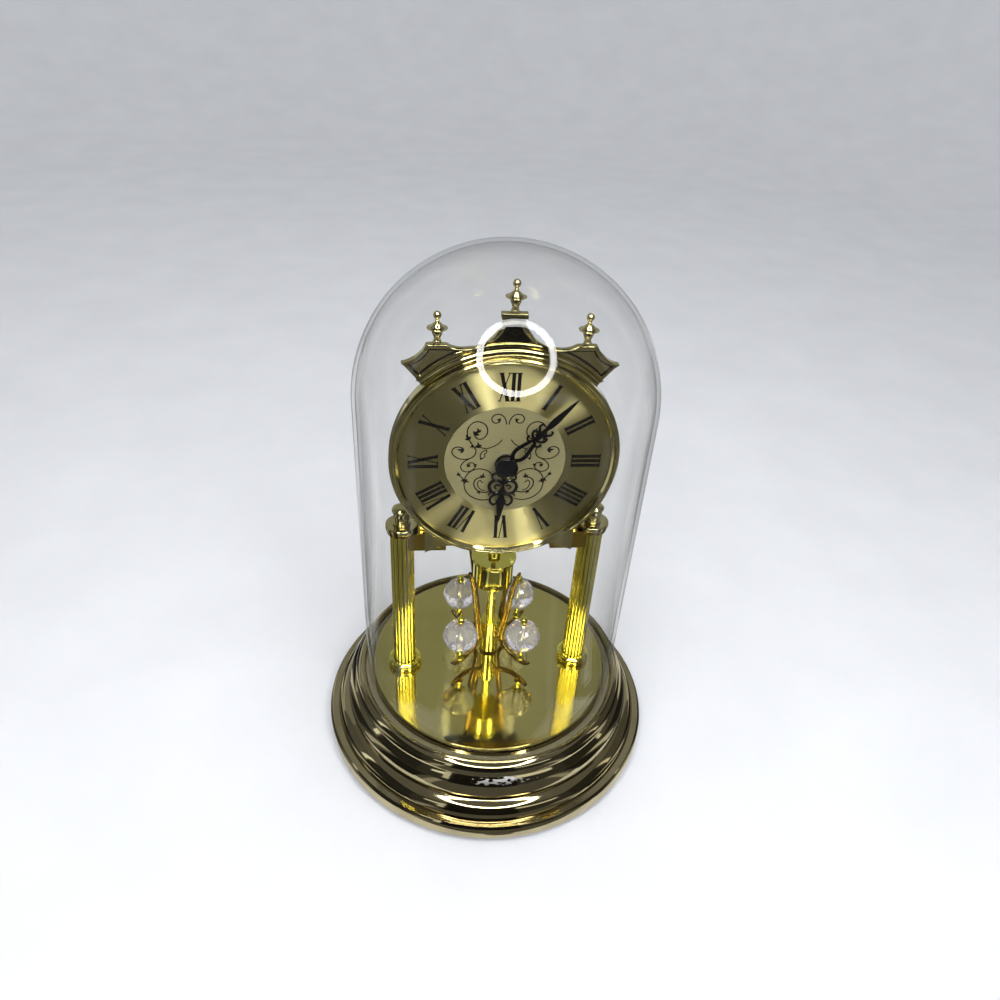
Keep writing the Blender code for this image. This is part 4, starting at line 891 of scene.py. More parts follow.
def letter_outlines(word):
    """Outlines of a Roman numeral, centred, NUMERAL_HEIGHT tall, with their strokes and serifs."""
    half = NUMERAL_HEIGHT / 2
    thick = THICK_STROKE
    left = -sum(LETTER_WIDTHS[letter] for letter in word) / 2
    outlines = []
    for letter in word:
        right = left + LETTER_WIDTHS[letter]
        middle = (left + right) / 2
        start = left - LETTER_PLAY
        end = right + LETTER_PLAY
        bars = [(start, left + thick + SERIF_LAP, half)]
        if letter == "I":
            strokes = [(middle, middle, thick)]
            reach = thick / 2 + SERIF_LAP
            bars = [(middle - reach, middle + reach, level) for level in (half, -half)]
        elif letter == "V":
            point = middle + 0.2 * MM
            top = left + thick / 2 + LETTER_PLAY
            strokes = [(top, point, thick * 0.95), (right - 0.45 * MM, point, THIN_STROKE)]
            bars += [(right - 1.0 * MM, end, half)]
        else:
            reach = thick / 2 + LETTER_PLAY
            strokes = [
                (left + reach, right - reach, thick),
                (right - 0.5 * MM, left + 0.5 * MM, THIN_STROKE),
            ]
            bars += [(right - 1.1 * MM, end, half), (start, left + 1.1 * MM, -half)]
            bars += [(right - thick - SERIF_LAP, end, -half)]
        outlines += [slanted(*stroke) for stroke in strokes] + [serif(*bar) for bar in bars]
        left = right
    return outlines


def make_numerals():
    bm = bmesh.new()
    for hour, word in enumerate(NUMERALS):
        turn = Matrix.Rotation(-TURN * hour / 12, 2)
        for outline in letter_outlines(word):
            placed = [turn @ Vector((x, y + NUMERAL_RADIUS)) for x, y in outline]
            levels = (DIAL_FRONT - PRINT, DIAL_FRONT + PRINT)
            add_rows(bm, [[(*corner, level) for corner in placed] for level in levels])
    add_to_dial(finished_mesh("numerals", bm), "print")


def scroll_lines():
    """Right half of a plain scroll ornament, as lines (x, y, half width) in mm."""
    curl = [
        (0.45, 15.75), (0.85, 17.8), (2.1, 19.5), (3.7, 20.0), (5.2, 19.5), (5.95, 18.2),
        (5.5, 16.9), (4.4, 16.35), (3.2, 16.8), (2.8, 17.8),
    ]
    tall = [
        (12.0, 11.5), (11.3, 10.2), (10.1, 9.6), (8.6, 10.1), (7.4, 11.85), (7.35, 14.1),
        (8.6, 16.1), (10.85, 16.95), (12.85, 16.35), (14.35, 14.35), (14.6, 11.85), (13.85, 9.35),
        (12.85, 7.6), (11.85, 6.1), (11.2, 4.6), (11.6, 2.85), (12.85, 1.6), (15.1, 0.95),
        (17.6, 1.35), (19.35, 2.6), (20.1, 4.1), (19.6, 5.6), (18.1, 6.35), (16.6, 6.0),
        (15.6, 5.0),
    ]
    low = [
        (13.35, 1.35), (15.6, -0.15), (16.7, -2.15), (16.1, -3.9), (14.35, -4.65), (12.35, -3.9),
        (11.35, -2.4), (11.85, -0.9), (13.3, -0.55), (14.3, -1.4), (13.9, -2.4),
    ]
    wide = [
        (4.35, -6.65), (5.85, -4.65), (8.1, -3.55), (10.6, -3.4), (12.85, -4.4), (14.4, -6.2),
        (15.2, -8.6), (15.15, -10.9), (14.35, -13.65), (12.1, -16.15), (9.1, -17.5), (6.6, -17.6),
        (4.6, -17.1),
    ]
    branch = [(11.85, 6.1), (9.6, 6.05), (7.35, 5.6), (4.6, 6.6), (2.85, 7.85), (1.7, 9.45)]
    horn_out = [
        (4.8, -13.6), (7.5, -14.1), (9.8, -13.3), (11.3, -11.2), (11.3, -8.8), (9.9, -7.4),
        (8.2, -7.2),
    ]
    horn_in = [
        (7.2, -13.3), (9.0, -12.5), (10.0, -10.8), (9.9, -9.2), (9.0, -8.5), (8.6, -9.3),
        (7.8, -9.4),
    ]
    drop_out = [(7.3, 5.1), (8.7, 4.3), (9.5, 2.7), (9.3, 0.8)]
    drop_in = [(7.3, 5.1), (7.2, 3.9), (8.0, 3.2), (7.7, 2.2), (9.3, 0.8)]
    spray = [(15.1, -9.9), (15.4, -8.2), (16.4, -6.9), (17.9, -5.6)]
    lines = []
    for knots, half in (
        (curl, 0.21), (tall, 0.23), (low, 0.22), (wide, 0.23), (branch, 0.2),
        (horn_out, 0.26), (horn_in, 0.2), (drop_out, 0.2), (drop_in, 0.18), (spray, 0.23),
    ):
        lines.append(smooth_line([(x, y, half) for x, y in knots], 5))
    for leaf in (
        (2.7, 17.5, 20, 0.75), (11.9, 11.4, 125, 1.25), (10.3, 12.4, 70, 1.0), (15.7, 4.8, 10, 1.2),
        (14.1, -2.2, 130, 0.8), (11.4, -1.2, 250, 0.7), (8.4, -7.3, 105, 1.0), (9.6, -13.4, 250, 0.8),
        (13.9, 9.4, 60, 1.15), (10.2, 6.1, 80, 1.1), (12.4, 6.7, 330, 0.6), (9.0, 1.6, 280, 0.5),
        (17.3, -6.2, 75, 0.8), (15.2, -8.6, 200, 1.0), (15.3, -8.4, 340, 0.7),
    ):
        lines += leaf_lines(*leaf)
    return lines


def leaf_lines(x, y, bearing, size):
    """A small three-lobed leaf at (x, y), its tip at a bearing in degrees."""
    made = []
    for side, length in ((-0.8, 1.4), (0.0, 2.1), (0.8, 1.4)):
        knots = []
        for share, half in ((0.0, 0.15), (0.35, 0.42), (0.7, 0.3), (1.0, 0.06)):
            angle = math.radians(bearing) + side * (0.7 + 0.5 * share)
            reach = size * length * share
            knots.append((x + reach * math.cos(angle), y + reach * math.sin(angle), half * size))
        made.append(smooth_line(knots, 4))
    return made


def both_sides(lines):
    return [[(side * x, y, half) for x, y, half in line] for line in lines for side in (-1, 1)]


def make_scrolls():
    strokes = [in_mm(line) for line in both_sides(scroll_lines())]
    scrolls = strokes_mesh("dial_scrolls", strokes, DIAL_FRONT - PRINT, DIAL_FRONT + PRINT * 0.6)
    add_to_dial(scrolls, "print")


# Hands

def minute_lines():
    """The minute hand's strokes, as (x, y, half width) in mm, pointing up."""
    loop = [
        (0.8, 4.2, 0.7), (1.9, 5.5, 0.76), (2.3, 7.4, 0.76), (2.0, 9.7, 0.72), (1.4, 12.0, 0.68),
        (0.7, 14.4, 0.6),
    ]
    spur = [(0.6, 13.6, 0.4), (2.0, 13.3, 0.42), (3.1, 14.2, 0.36), (3.0, 15.3, 0.2)]
    curl = [
        (0.4, 15.2, 0.45), (1.8, 15.6, 0.5), (3.0, 16.8, 0.46), (2.8, 18.2, 0.4),
        (1.8, 18.2, 0.25),
    ]
    ear = [
        (0.3, 17.4, 0.5), (1.5, 18.8, 0.5), (2.8, 20.2, 0.44), (2.6, 21.6, 0.34), (1.8, 21.4, 0.2),
    ]
    stem = [(0, 13.8, 0.7), (0, 15.6, 1.0), (0, 17.4, 1.15), (0, 19.6, 0.9), (0, 21.4, 0.6)]
    spear = [
        (0, 20.8, 0.6), (0, 23.2, 1.2), (0, 25.8, 1.35), (0, 29.8, 1.0), (0, 34.0, 0.58),
        (0, 37.1, 0.08),
    ]
    return both_sides([loop, spur, curl, ear]) + [stem, spear]


def hour_lines():
    """The hour hand's strokes, as (x, y, half width) in mm, pointing up."""
    scroll = [
        (0.8, 3.8, 0.5), (3.2, 3.9, 0.46), (4.5, 5.2, 0.42), (4.1, 6.7, 0.36), (3.1, 6.3, 0.2),
    ]
    lobe = [
        (0.6, 8.6, 0.5), (1.5, 7.5, 0.55), (2.9, 7.2, 0.6), (4.4, 7.9, 0.6), (5.2, 9.4, 0.6),
        (5.0, 11.1, 0.6), (4.0, 12.5, 0.6), (2.4, 12.9, 0.55), (1.1, 12.3, 0.5), (0.5, 11.2, 0.4),
    ]
    petal = [(1.0, 9.6, 0.3), (2.3, 9.2, 0.36), (3.1, 10.2, 0.34), (2.4, 11.2, 0.24)]
    lower = [
        (0.5, 13.6, 0.48), (2.5, 13.7, 0.5), (4.1, 15.1, 0.5), (4.1, 17.2, 0.46),
        (2.8, 18.4, 0.42), (1.6, 17.5, 0.32), (2.0, 16.2, 0.22),
    ]
    tuft = [(3.6, 13.2, 0.3), (4.6, 13.2, 0.34), (5.1, 14.2, 0.2)]
    stem = [(0, 3.6, 1.4), (0, 6.2, 0.9), (0, 9.2, 0.6), (0, 12.4, 1.0), (0, 14.2, 0.7)]
    spear = [
        (0, 13.6, 0.6), (0, 15.8, 1.4), (0, 18.4, 1.55), (0, 21.2, 1.15), (0, 24.6, 0.65),
        (0, 27.7, 0.08),
    ]
    return both_sides([scroll, lobe, petal, lower, tuft]) + [stem, spear]


def make_hand(node, lines, turn, body, hole):
    back, _ = depths(node)
    front = back + HAND_THICKNESS
    bm = bmesh.new()
    for line in lines:
        add_stroke(bm, in_mm(smooth_line(line)), back, front)
    add_turned(bm, ring_profile(hole, CAP_RADIUS, back, front, 0.12 * MM), SMALL_STEPS)
    place = DIAL_FRAME @ Matrix.Rotation(-TURN * turn, 4, "Z")
    add_piece(finished_mesh(node + "_finish", bm), "black", body, node, place=place)


def make_hands():
    hour = SHOWN_MINUTE / 60
    make_hand("hour_hand", hour_lines(), (SHOWN_HOUR + hour) / 12, "hour_work", PIPE_HOLE)
    make_hand("minute_hand", minute_lines(), hour, "minute_work", ARBOR_HOLE)
    floor = CAP_FRONT - 0.4 * MM
    corners = [
        (0, CAP_FRONT, 0), (CAP_RADIUS * 0.5, CAP_FRONT - 0.12 * MM, 4 * MM),
        (CAP_RADIUS, CAP_FRONT - 0.9 * MM, 0.5 * MM), (CAP_RADIUS, CAP_BACK, 0.15 * MM),
        (ARBOR_HOLE, CAP_BACK, 0), (ARBOR_HOLE, floor, 0), (0, floor, 0),
    ]
    add_turning("hand_cap", "black", rounded(corners), place=DIAL_FRAME, body="minute_work")


# Pediment

def on_arch(radius, x):
    """The point of an arch of that radius that lies x to the right of its middle."""
    return x, math.sqrt(radius**2 - x**2)


def pediment_half(base, foot_x):
    """Right half of the pediment's outline, down to an arch of that radius."""
    points = [(0, PEDIMENT_TOP), (PLINTH_HALF, PEDIMENT_TOP), (PLINTH_HALF, PLINTH_LOW)]
    points += arc((TOWER_TOP_HALF, PLINTH_LOW), SHOULDER, -1.7 * MM, 12)
    saddle = [points[-1], SADDLE, (20.5 * MM, ARCH_RADIUS + 1.7 * MM), (WING_INNER, WING_TOP)]
    points += [tuple(point) for point in smooth_line(saddle, 5)][1:]
    points += arc((WING_INNER + 0.4 * MM, WING_TOP), (WING_OUTER, WING_TOP), 0.2 * MM, 4)
    points += arc((WING_OUTER, WING_TOP), WING_TIP, -1.3 * MM, 8)[1:]
    foot = on_arch(base, foot_x)
    sag = base - math.sqrt((base**2 + foot[1] * base) / 2)
    return points + arc(foot, (0, base), -sag, 24)


def wing_panel(side):
    base = ARCH_RADIUS + COVE + 0.6 * MM
    x, y = on_arch(base, 17.2 * MM)
    inner = (x, y + 0.2 * MM)
    level = WING_TOP - BORDER
    top_out = (WING_OUTER - BORDER * 0.55, level)
    tip = (WING_TIP[0] - BORDER * 1.5, WING_TIP[1] - BORDER * 0.2)
    points = [inner, (22.9 * MM, level)] + arc(top_out, tip, -1.1 * MM, 8)
    points += arc(on_arch(base, WING_FOOT_X + BORDER * 0.9), inner, -1.0 * MM, 10)[:-1]
    return [(side * x, y) for x, y in points]


def tower_panel():
    base = ARCH_RADIUS + COVE + 0.5 * MM
    top = PLINTH_LOW - BORDER * 0.5
    low = on_arch(base, SHOULDER[0] - BORDER * 1.3)
    side = arc((TOWER_TOP_HALF - BORDER * 0.75, top), low, -1.45 * MM, 12)
    sag = base - math.sqrt((base**2 + low[1] * base) / 2)
    return mirrored([(0, top)] + side + arc(low, (0, base), -sag, 6)[1:])


def cove_mesh():
    """The hollow moulding that follows the dial."""
    outer = ARCH_RADIUS + COVE
    floor = PEDIMENT_FLOOR - PEDIMENT_LAP
    crest = PEDIMENT_FRONT - 0.1 * MM
    lip = ARCH_RADIUS + 0.25 * MM
    profile = [(ARCH_RADIUS, floor), (ARCH_RADIUS, PEDIMENT_FRONT - 0.35 * MM), (lip, crest)]
    profile += arc((ARCH_RADIUS + 0.5 * MM, crest), (outer - 0.4 * MM, crest), -0.75 * MM, 10)
    profile += [(outer + 0.1 * MM, crest), (outer + 0.1 * MM, floor)]
    reach = math.asin(WING_FOOT_X / ARCH_RADIUS)
    bm = bmesh.new()
    add_turned(bm, profile, COVE_STEPS, TURN / 4 - reach, 2 * reach)
    return finished_mesh("pediment_cove", bm)


def make_pediment():
    outline = mirrored(pediment_half(ARCH_RADIUS, WING_FOOT_X))
    back = flat_mesh("pediment_back", [outline], PEDIMENT_BACK, PEDIMENT_FLOOR, 0.25 * MM)
    add_to_dial(back, "pale_brass", "pediment")
    holes = [wing_panel(-1), wing_panel(1), tower_panel()]
    outlines = [mirrored(pediment_half(ARCH_RADIUS + COVE, WING_FOOT_X + 0.9 * MM))] + holes
    low = PEDIMENT_FLOOR - PEDIMENT_LAP
    front = flat_mesh("pediment_front", outlines, low, PEDIMENT_FRONT, 0.3 * MM)
    add_to_dial(front, "pale_brass")
    for name, panels, half, finish in (
        # Painted shade: dark strokes along the inner edges of the wing recesses.
        ("pediment_wing_lines", holes[:2], 0.62 * MM, "print"),
        # Painted highlight: a pale strip along the inner edge of the tower recess.
        ("pediment_tower_line", holes[2:], 0.5 * MM, "pale_gold"),
    ):
        strokes = [[(x, y, half) for x, y in panel + panel[:2]] for panel in panels]
        lines = strokes_mesh(name, strokes, PEDIMENT_FLOOR - 0.1 * MM, PEDIMENT_FLOOR + 0.12 * MM)
        add_to_dial(lines, finish)
    add_to_dial(cove_mesh(), "pale_brass")


def finial_profile():
    """Foot, vase, thin upturned flange, bell, bead and ball."""
    corners = [
        (0, 0, 0), (1.5, 0, 0.1), (1.5, 0.7, 0.15), (1.15, 1.0, 0.15), (1.15, 1.6, 0.2),
        (1.3, 2.2, 0.3), (1.9, 3.4, 0.6), (1.75, 4.3, 0.3), (1.5, 4.45, 0.1), (3.6, 5.1, 0.08),
        (3.62, 5.22, 0.05), (2.5, 5.0, 0.15), (2.35, 5.9, 0.8), (1.3, 6.9, 0.7), (0.55, 7.2, 0.2),
        (0.8, 7.55, 0.3), (0.8, 7.8, 0.3), (0.5, 8.2, 0.1),
    ]
    ball = 1.4
    middle = 11.0 - ball
    start = math.asin(0.5 / ball)
    turns = [start + (math.pi - start) * step / 16 for step in range(17)]
    points = [(ball * math.sin(turn), middle - ball * math.cos(turn)) for turn in turns]
    return rounded(in_mm(corners), 5) + in_mm(points)


def make_finials():
    for word in ("left", "top", "right"):
        node = "finial_" + word
        place = Matrix.Translation((centre_of(node).x, FINIAL_Y, spans(node)[1]))
        add_turning(node, "pale_gold", finial_profile(), place=place, sharp=45)


# Pendulum

def make_stem():
    radius, low, high = spans("pendulum_tube")
    tube = [(0, high, 0), (radius, high, 0.5 * MM), (radius, low, 0.2 * MM), (0, low, 0)]
    neck = 3.0 * MM
    hub = spans("pendulum_drum")[0] + 0.5 * MM
    radius, low, high = spans("pendulum_disc")
    rise = low + 1.9 * MM
    saucer = [
        (0, high, 0), (neck, high, 0.3 * MM), (neck, rise + 0.4 * MM, 0.5 * MM),
        (radius, rise, 0.2 * MM), (radius, rise - 0.7 * MM, 0.3 * MM), (hub, low, 0.3 * MM),
        (0, low, 0),
    ]
    _, low, high = spans("pendulum_spindle")
    magnet = 5.0 * MM
    shaft = 1.1 * MM
    seat = high - 3.0 * MM
    spindle = [
        (0, high, 0), (magnet, high, 0.3 * MM), (magnet, seat, 0.3 * MM), (shaft, seat, 0.1 * MM),
        (shaft, low, 0.1 * MM), (0, low, 0),
    ]
    for node, finish, profile, steps in (
        ("pendulum_tube", "gold", rounded(tube), MEDIUM_STEPS),
        ("pendulum_rod", "gold", disc_profile(*spans("pendulum_rod"), 0.2 * MM), MEDIUM_STEPS),
        ("pendulum_drum", "gold", disc_profile(*spans("pendulum_drum"), 0.5 * MM), MEDIUM_STEPS),
        ("pendulum_disc", "gold", rounded(saucer), MEDIUM_STEPS),
        ("pendulum_spindle", "steel", rounded(spindle), SMALL_STEPS),
    ):
        add_turning(node, finish, profile, steps, PENDULUM_AXIS, "pendulum")


def arm_line():
    """Centre line of a lyre arm, as (distance from the axis, height, half width) in mm."""
    line = [
        (14.8, 88.2, 0.55), (12.6, 81.0, 1.0), (11.0, 72.0, 1.25), (9.9, 64.0, 1.3),
        (8.9, 57.0, 1.3), (7.8, 50.4, 1.3), (7.3, 45.6, 1.3), (7.8, 42.6, 1.25), (9.8, 40.9, 1.2),
        (12.6, 39.6, 1.2),
    ]
    return line + [(16.2, 38.6, 1.2), (20.4, 38.7, 1.15), (23.4, 39.9, 0.9), (24.6, 40.6, 0.45)]


def oval(share):
    return math.copysign(abs(share) ** OVAL, share)


def add_bar(bm, line, half_thickness):
    """A bar along (x, z, half width) in the XZ plane with an oval section."""
    turns = [TURN * side / BAR_SIDES for side in range(BAR_SIDES)]
    section = [(oval(math.cos(turn)), oval(math.sin(turn)) * half_thickness) for turn in turns]
    rows = []
    for point, left in steps_along(smooth_line(line, 5)):
        row = []
        for across, deep in section:
            place = point.to_2d() + left * across * point.z
            row.append((place.x, deep, place.y))
        rows.append(row)
    add_rows(bm, rows)


def make_arms():
    hub = [(4.8, 43.7, 1.25), (6.2, 43.7, 1.2), (7.8, 43.7, 1.2)]
    for step in range(ARMS):
        node = "pendulum_arm_%d" % (step + 1)
        spoke = PENDULUM_AXIS @ Matrix.Rotation(PENDULUM_TURN + step * TURN / ARMS, 4, "Z")
        bm = bmesh.new()
        for line in (arm_line(), hub):
            add_bar(bm, in_mm(line), ARM_THICKNESS / 2)
        # Painted shade: the arms get the darker brown copy of the gold.
        add_piece(finished_mesh(piece_name(node), bm, 50), "brown_gold", "pendulum", node, place=spoke)
        make_crystal(str(step + 1), spoke @ Matrix.Translation((CRYSTAL_OUT, 0, CRYSTAL_Z)))


def make_crystal(number, place):
    """A bead cut in rows of facets round its bore, on a pin with a ball head and a seat."""
    bm = bmesh.new()
    upper = [(7.1, 1.2, 0), (7.1, 2.2, 0), (6.4, 4.0, 0.5), (4.9, 5.8, 0), (2.6, 7.2, 0.5)]
    lower = [(-height, radius, lag) for height, radius, lag in reversed(upper)]
    rows = []
    for height, radius, lag in upper + [(0.0, 7.85, 0)] + lower:
        turns = [TURN * (side + lag) / FACETS for side in range(FACETS)]
        corners = [(radius * math.cos(turn), radius * math.sin(turn), height) for turn in turns]
        rows.append([bm.verts.new(corner) for corner in in_mm(corners)])
    for side in range(FACETS):
        onward = (side + 1) % FACETS
        for here, below in ((rows[0], rows[1]), (rows[-2], rows[-1]), (rows[-1], rows[0])):
            bm.faces.new([here[side], below[side], below[onward], here[onward]])
        for step in range(1, len(rows) - 2):
            here, below = rows[step : step + 2]
            if step % 2:
                bm.faces.new([here[side], below[side], here[onward]])
                bm.faces.new([here[onward], below[side], below[onward]])
            else:
                bm.faces.new([here[side], below[side], below[onward]])
                bm.faces.new([here[side], below[onward], here[onward]])
    crystal = finished_mesh("crystal_finish_" + number, bm, 1)
    add_piece(crystal, "crystal", "pendulum", "crystal_" + number, place=place)
    pin = [
        (0, 10.9, 0), (1.6, 10.7, 1.2), (1.65, 8.0, 1.2), (0.9, 7.55, 0.15), (0.9, -7.5, 0.1),
        (2.0, -7.9, 0.3), (2.0, -8.7, 0.3), (0.95, -9.8, 0.4), (0.95, -11.6, 0.4),
        (1.8, -13.6, 0.3), (1.8, -14.2, 0.1), (0, -14.2, 0),
    ]
    add_turning("crystal_pin_" + number, "gold", rounded(in_mm(pin)), SMALL_STEPS, place, "pendulum")


# Pieces that keep the shape of their solids

def make_plain_pieces():
    for node, finish, body, width in (
        # Painted shade: the bridge bar gets the darker copy of the gold.
        ("bridge_bar", "deep_gold", "stand", 0.3),
        ("movement_bracket", "pale_brass", "stand", 0.15),
        ("movement_housing", "movement", "stand", 0.3),
        ("movement_cover", "movement", "stand", 0.2),
        ("drive_case", "movement", "stand", 0.25),
        ("circuit_board", "board", "stand", 0.05),
        ("rod_nut_left", "steel", "stand", 0.2),
        ("rod_nut_right", "steel", "stand", 0.2),
        ("setting_knob", "movement", "setting_work", 0.3),
        ("setting_wheel", "nylon", "setting_work", 0.04),
        ("hour_wheel", "nylon", "hour_work", 0.04),
        ("minute_arbor", "steel", "minute_work", 0.04),
        ("battery", "battery", "cell", 0.3),
    ):
        add_piece(bevelled_copy(node, width * MM), finish, body, node)
    for node in ("tie_rod_left", "tie_rod_right", "stepper_coil", "drive_coil"):
        materials = frame["nodes"][node].data.materials
        materials.clear()
        materials.append(FINISH["copper" if "coil" in node else "steel"])


# Stage

def stage_object(name, mesh, material, place=UNMOVED):
    made = new_object(name, mesh)
    made.matrix_world = place
    mesh.materials.append(material)
    return made


def hide_from(made, *rays):
    for ray in rays:
        setattr(made, "visible_" + ray, False)


def make_floor():
    """A pale floor that rises in a wide curve into a plain backdrop all round."""
    made, tree, shader = new_material("pale_floor", "floor")
    tone = tint(tree, grain(tree, 60 * MM, 4.0), (0.66, 0.67, 0.69), (0.70, 0.71, 0.73))
    haze = spread(tree, grain(tree, 25 * MM), 0.5, 0.6)
    feed(tree, shader, {"Base Color": tone, "Roughness": haze, "Specular IOR Level": 0.0})
    bm = bmesh.new()
    bmesh.ops.create_circle(bm, cap_ends=True, radius=FLOOR_RADIUS, segments=LARGE_STEPS)
    stage_object("floor", finished_mesh("floor", bm), made)
    outer = FLOOR_RADIUS + BACKDROP_CURVE
    outside = outer + BACKDROP_WALL
    bulge = BACKDROP_CURVE * (1 - math.sqrt(0.5))
    profile = arc((FLOOR_RADIUS, 0), (outer, BACKDROP_CURVE), -bulge, 24)
    profile += [(outer, BACKDROP_HEIGHT), (outside, BACKDROP_HEIGHT), (outside, 0)]
    backdrop = stage_object("backdrop", turned_mesh("backdrop", profile, LARGE_STEPS), made)
    hide_from(backdrop, "diffuse", "glossy", "shadow")


def glowing(name, strength, colour, sampled):
    made = bpy.data.materials.new(name)
    made.use_nodes = True
    tree = made.node_tree
    tree.nodes.clear()
    light = add_node(tree, "Emission", {"Color": (*colour, 1), "Strength": strength})
    feed(tree, tree.nodes.new("ShaderNodeOutputMaterial"), {"Surface": light})
    if not sampled:
        made.cycles.emission_sampling = "NONE"
    return made


def add_panel(name, corners, strength, colour=(1, 1, 1)):
    """A glowing flat panel through the corners, in mm, which shows only in polished surfaces."""
    bm = bmesh.new()
    bm.faces.new([bm.verts.new(corner) for corner in in_mm(corners)])
    mesh = bpy.data.meshes.new(name)
    bm.to_mesh(mesh)
    bm.free()
    made = stage_object(name, mesh, glowing(name + "_glow", strength, colour, False))
    hide_from(made, "camera", "diffuse", "transmission", "volume_scatter", "shadow")


def level_panel(name, left, right, front, back, height, strength):
    corners = [(left, front), (right, front), (right, back), (left, back)]
    add_panel(name, [(*corner, height) for corner in corners], strength)


def make_wedges():
    """Light and dark wedges on the floor, each between two bearings in degrees from the front."""
    for number, (start, end, strength) in enumerate((
        (-178, -158, 0.06), (-152, -140, 0.90), (-136, -118, 0.02), (-112, -104, 0.80),
        (-98, -80, 0.03), (-75, -68, 0.60), (-63, -40, 0.02), (-36, -31, 0.45),
        (33, 38, 0.45), (42, 60, 0.02), (64, 72, 0.70), (77, 100, 0.02),
        (105, 114, 0.80), (119, 136, 0.03), (142, 152, 0.90), (157, 176, 0.05),
    )):
        corners = []
        reaches = (WEDGE_NEAR, WEDGE_FAR, WEDGE_FAR, WEDGE_NEAR)
        for bearing, reach in zip((start, start, end, end), reaches):
            turn = math.radians(bearing)
            corners.append((reach * math.sin(turn), -reach * math.cos(turn), WEDGE_HEIGHT))
        add_panel("floor_wedge_%d" % number, corners, strength)


def make_room():
    """The room as the polished brass shows it: dark in front, pale behind, with windows."""
    cool = (0.94, 0.97, 1.0)
    warm = (1.0, 0.97, 0.90)
    white = (1, 1, 1)
    side = 1800
    front = -1500
    back = 900
    top = 1500
    base = 78
    for name, *sizes in (
        ("room_floor_front", -side, side, front, -base, 0.4, 0.13),
        ("room_floor_left", -side, -base, -base, back, 0.4, 0.11),
        ("room_floor_right", base, side, -base, back, 0.4, 0.09),
        ("room_floor_back", -base, base, base, back, 0.4, 0.40),
        ("dark_card", 30, 106, -540, -412, 1.0, 0.006),
        ("room_ceiling", -side, side, front, back, top, 0.16),
    ):
        level_panel(name, *sizes)
    make_wedges()
    for name, start, end, low, high, strength, colour in (
        ("room_back_low", (-side, back), (side, back), 0, 330, 0.55, cool),
        ("room_back", (-side, back), (side, back), 330, top, 0.32, cool),
        ("room_left_front", (-side, front), (-side, -200), 0, top, 0.03, cool),
        ("room_left_back", (-side, -200), (-side, back), 0, top, 0.14, cool),
        ("room_right_front", (side, front), (side, -300), 0, top, 0.03, warm),
        ("room_right_back", (side, -300), (side, back), 0, top, 0.10, warm),
        ("room_front", (-side, front), (side, front), 0, top, 0.05, white),
        ("window_left", (-1700, -150), (-1700, -20), 250, 1250, 1.4, cool),
        ("window_right", (1700, -350), (1700, -240), 200, 1200, 1.1, warm),
        ("window_front", (-900, -1400), (-700, -1400), 300, 1100, 0.9, cool),
        ("window_band", (-1300, -1450), (1300, -1450), 780, 1010, 1.3, cool),
        ("dark_figure", (-330, -620), (170, -620), 0, 640, 0.012, white),
    ):
        add_panel(name, [(*start, low), (*end, low), (*end, high), (*start, high)], strength, colour)


def make_ring_lamp():
    """A lamp ring in front of and above the dial that shows only in reflections and by its light."""
    bm = bmesh.new()
    tube = circle(RING_TUBE, 24, (RING_MIDDLE, 0))
    add_turned(bm, [(radius, height * RING_FLATTENING) for radius, height in tube], 96)
    aim = (RING_AIM - RING_PLACE).to_track_quat("Z", "Y").to_matrix().to_4x4()
    glow = glowing("ring_glow", RING_STRENGTH, (1, 1, 1), True)
    place = Matrix.Translation(RING_PLACE) @ aim
    ring = stage_object("ring_lamp", finished_mesh("ring_lamp", bm), glow, place)
    hide_from(ring, "camera", "transmission")


def add_area(name, place, aim, size, power, colour=(1, 1, 1), lit=()):
    """A rectangular lamp, in mm, that fills the scene, or shines only in the lit pieces."""
    light = bpy.data.lights.new(name, "AREA")
    light.shape = "RECTANGLE"
    light.size, light.size_y = size[0] * MM, size[1] * MM
    light.energy = power
    light.color = colour
    made = new_object(name, light)
    made.location = Vector(place) * MM
    made.rotation_euler = (Vector(aim) - Vector(place)).to_track_quat("-Z", "Y").to_euler()
    hide_from(made, "transmission", "diffuse" if lit else "glossy")
    if lit:
        reached = bpy.data.collections.new(name + "_lit")
        for piece in lit:
            reached.objects.link(bpy.data.objects[piece])
        made.light_linking.receiver_collection = reached


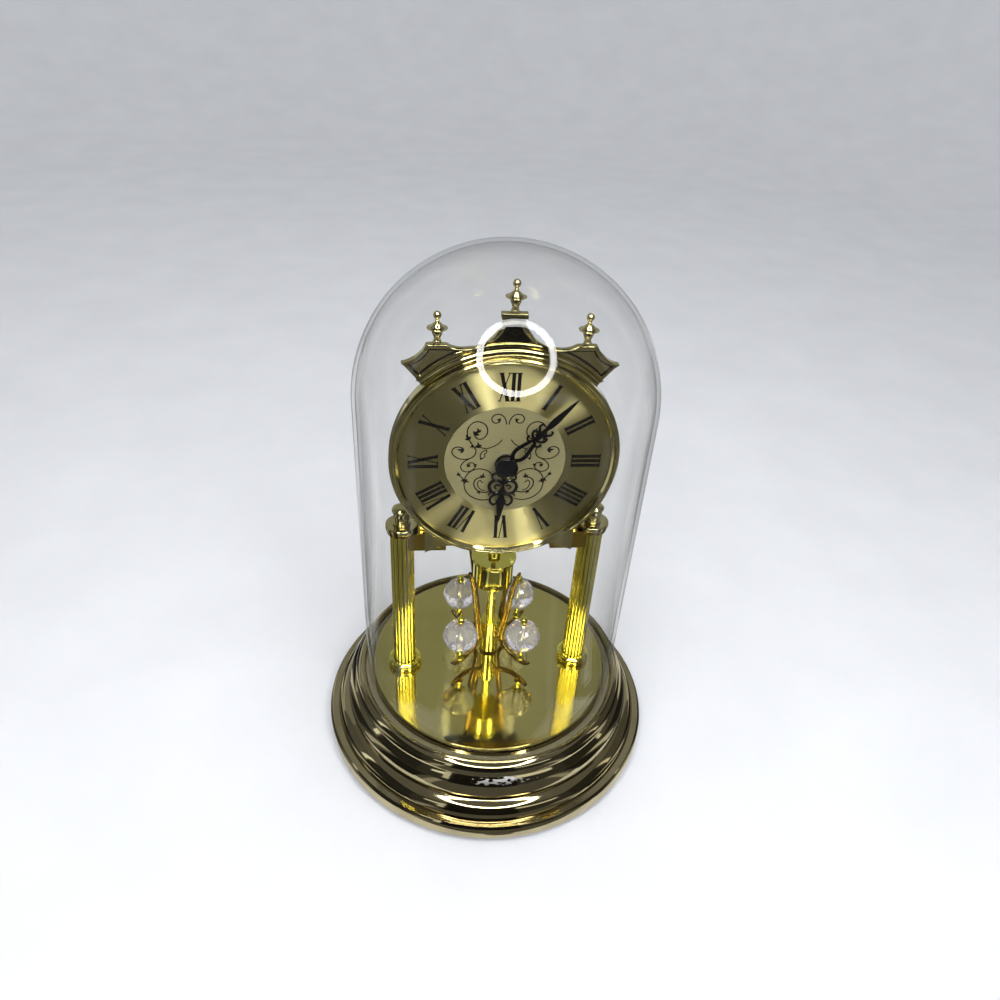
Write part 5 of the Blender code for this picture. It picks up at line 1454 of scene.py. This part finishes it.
def make_lights():
    add_area("ceiling_panel", (200, 600, 1900), (0, 0, 50), (2400, 2000), 3, (0.97, 0.98, 1.0))
    add_area("left_panel", (-1500, -300, 1200), (0, 0, 50), (1200, 1200), 3, (1.0, 0.99, 0.97))
    for name, place, power in (
        ("shine_left", (-165, -390, 690), 3.8),
        ("shine_middle", (90, -330, 700), 1.2),
        ("shine_right", (400, -300, 620), 3.6),
        ("shine_low", (760, -330, 330), 3.2),
    ):
        add_area(name, place, (0, 0, 130), (70, 200), power, lit=("dial_ring", "dial_centre"))
    world = bpy.data.worlds.new("room")
    world.use_nodes = True
    tree = world.node_tree
    split = add_node(tree, "SeparateXYZ", {0: add_node(tree, "TexCoord", {}, "Generated")}, "Z")
    tone = tint(tree, split, (0.74, 0.75, 0.78), (0.56, 0.57, 0.59), 0.05, 0.8)
    feed(tree, tree.nodes["Background"], {"Color": tone, "Strength": 1.0})
    bpy.context.scene.world = world


def make_camera():
    lens = bpy.data.cameras.new("camera")
    lens.lens = CAMERA_LENS
    lens.sensor_width = CAMERA_SENSOR
    lens.clip_start = 0.01
    camera = new_object("camera", lens)
    bearing = Matrix.Rotation(-CAMERA_YAW, 4, "Z") @ Matrix.Rotation(TURN / 4 - CAMERA_PITCH, 4, "X")
    roll = Matrix.Rotation(CAMERA_ROLL, 4, "Z")
    camera.matrix_world = Matrix.Translation(CAMERA_PLACE) @ bearing @ roll
    bpy.context.scene.camera = camera


def set_look():
    scene = bpy.context.scene
    scene.view_settings.view_transform = "Standard"
    scene.view_settings.exposure = 0.0
    scene.cycles.max_bounces = 24
    scene.cycles.transmission_bounces = 20
    scene.cycles.glossy_bounces = 8
    scene.cycles.transparent_max_bounces = 24
    scene.cycles.caustics_reflective = False
    scene.cycles.caustics_refractive = False


make_base()
make_dome()
make_columns()
make_case()
make_bezel()
make_dial()
make_numerals()
make_scrolls()
make_hands()
make_pediment()
make_finials()
make_stem()
make_arms()
make_plain_pieces()
make_floor()
make_room()
make_ring_lamp()
make_lights()
make_camera()
set_look()
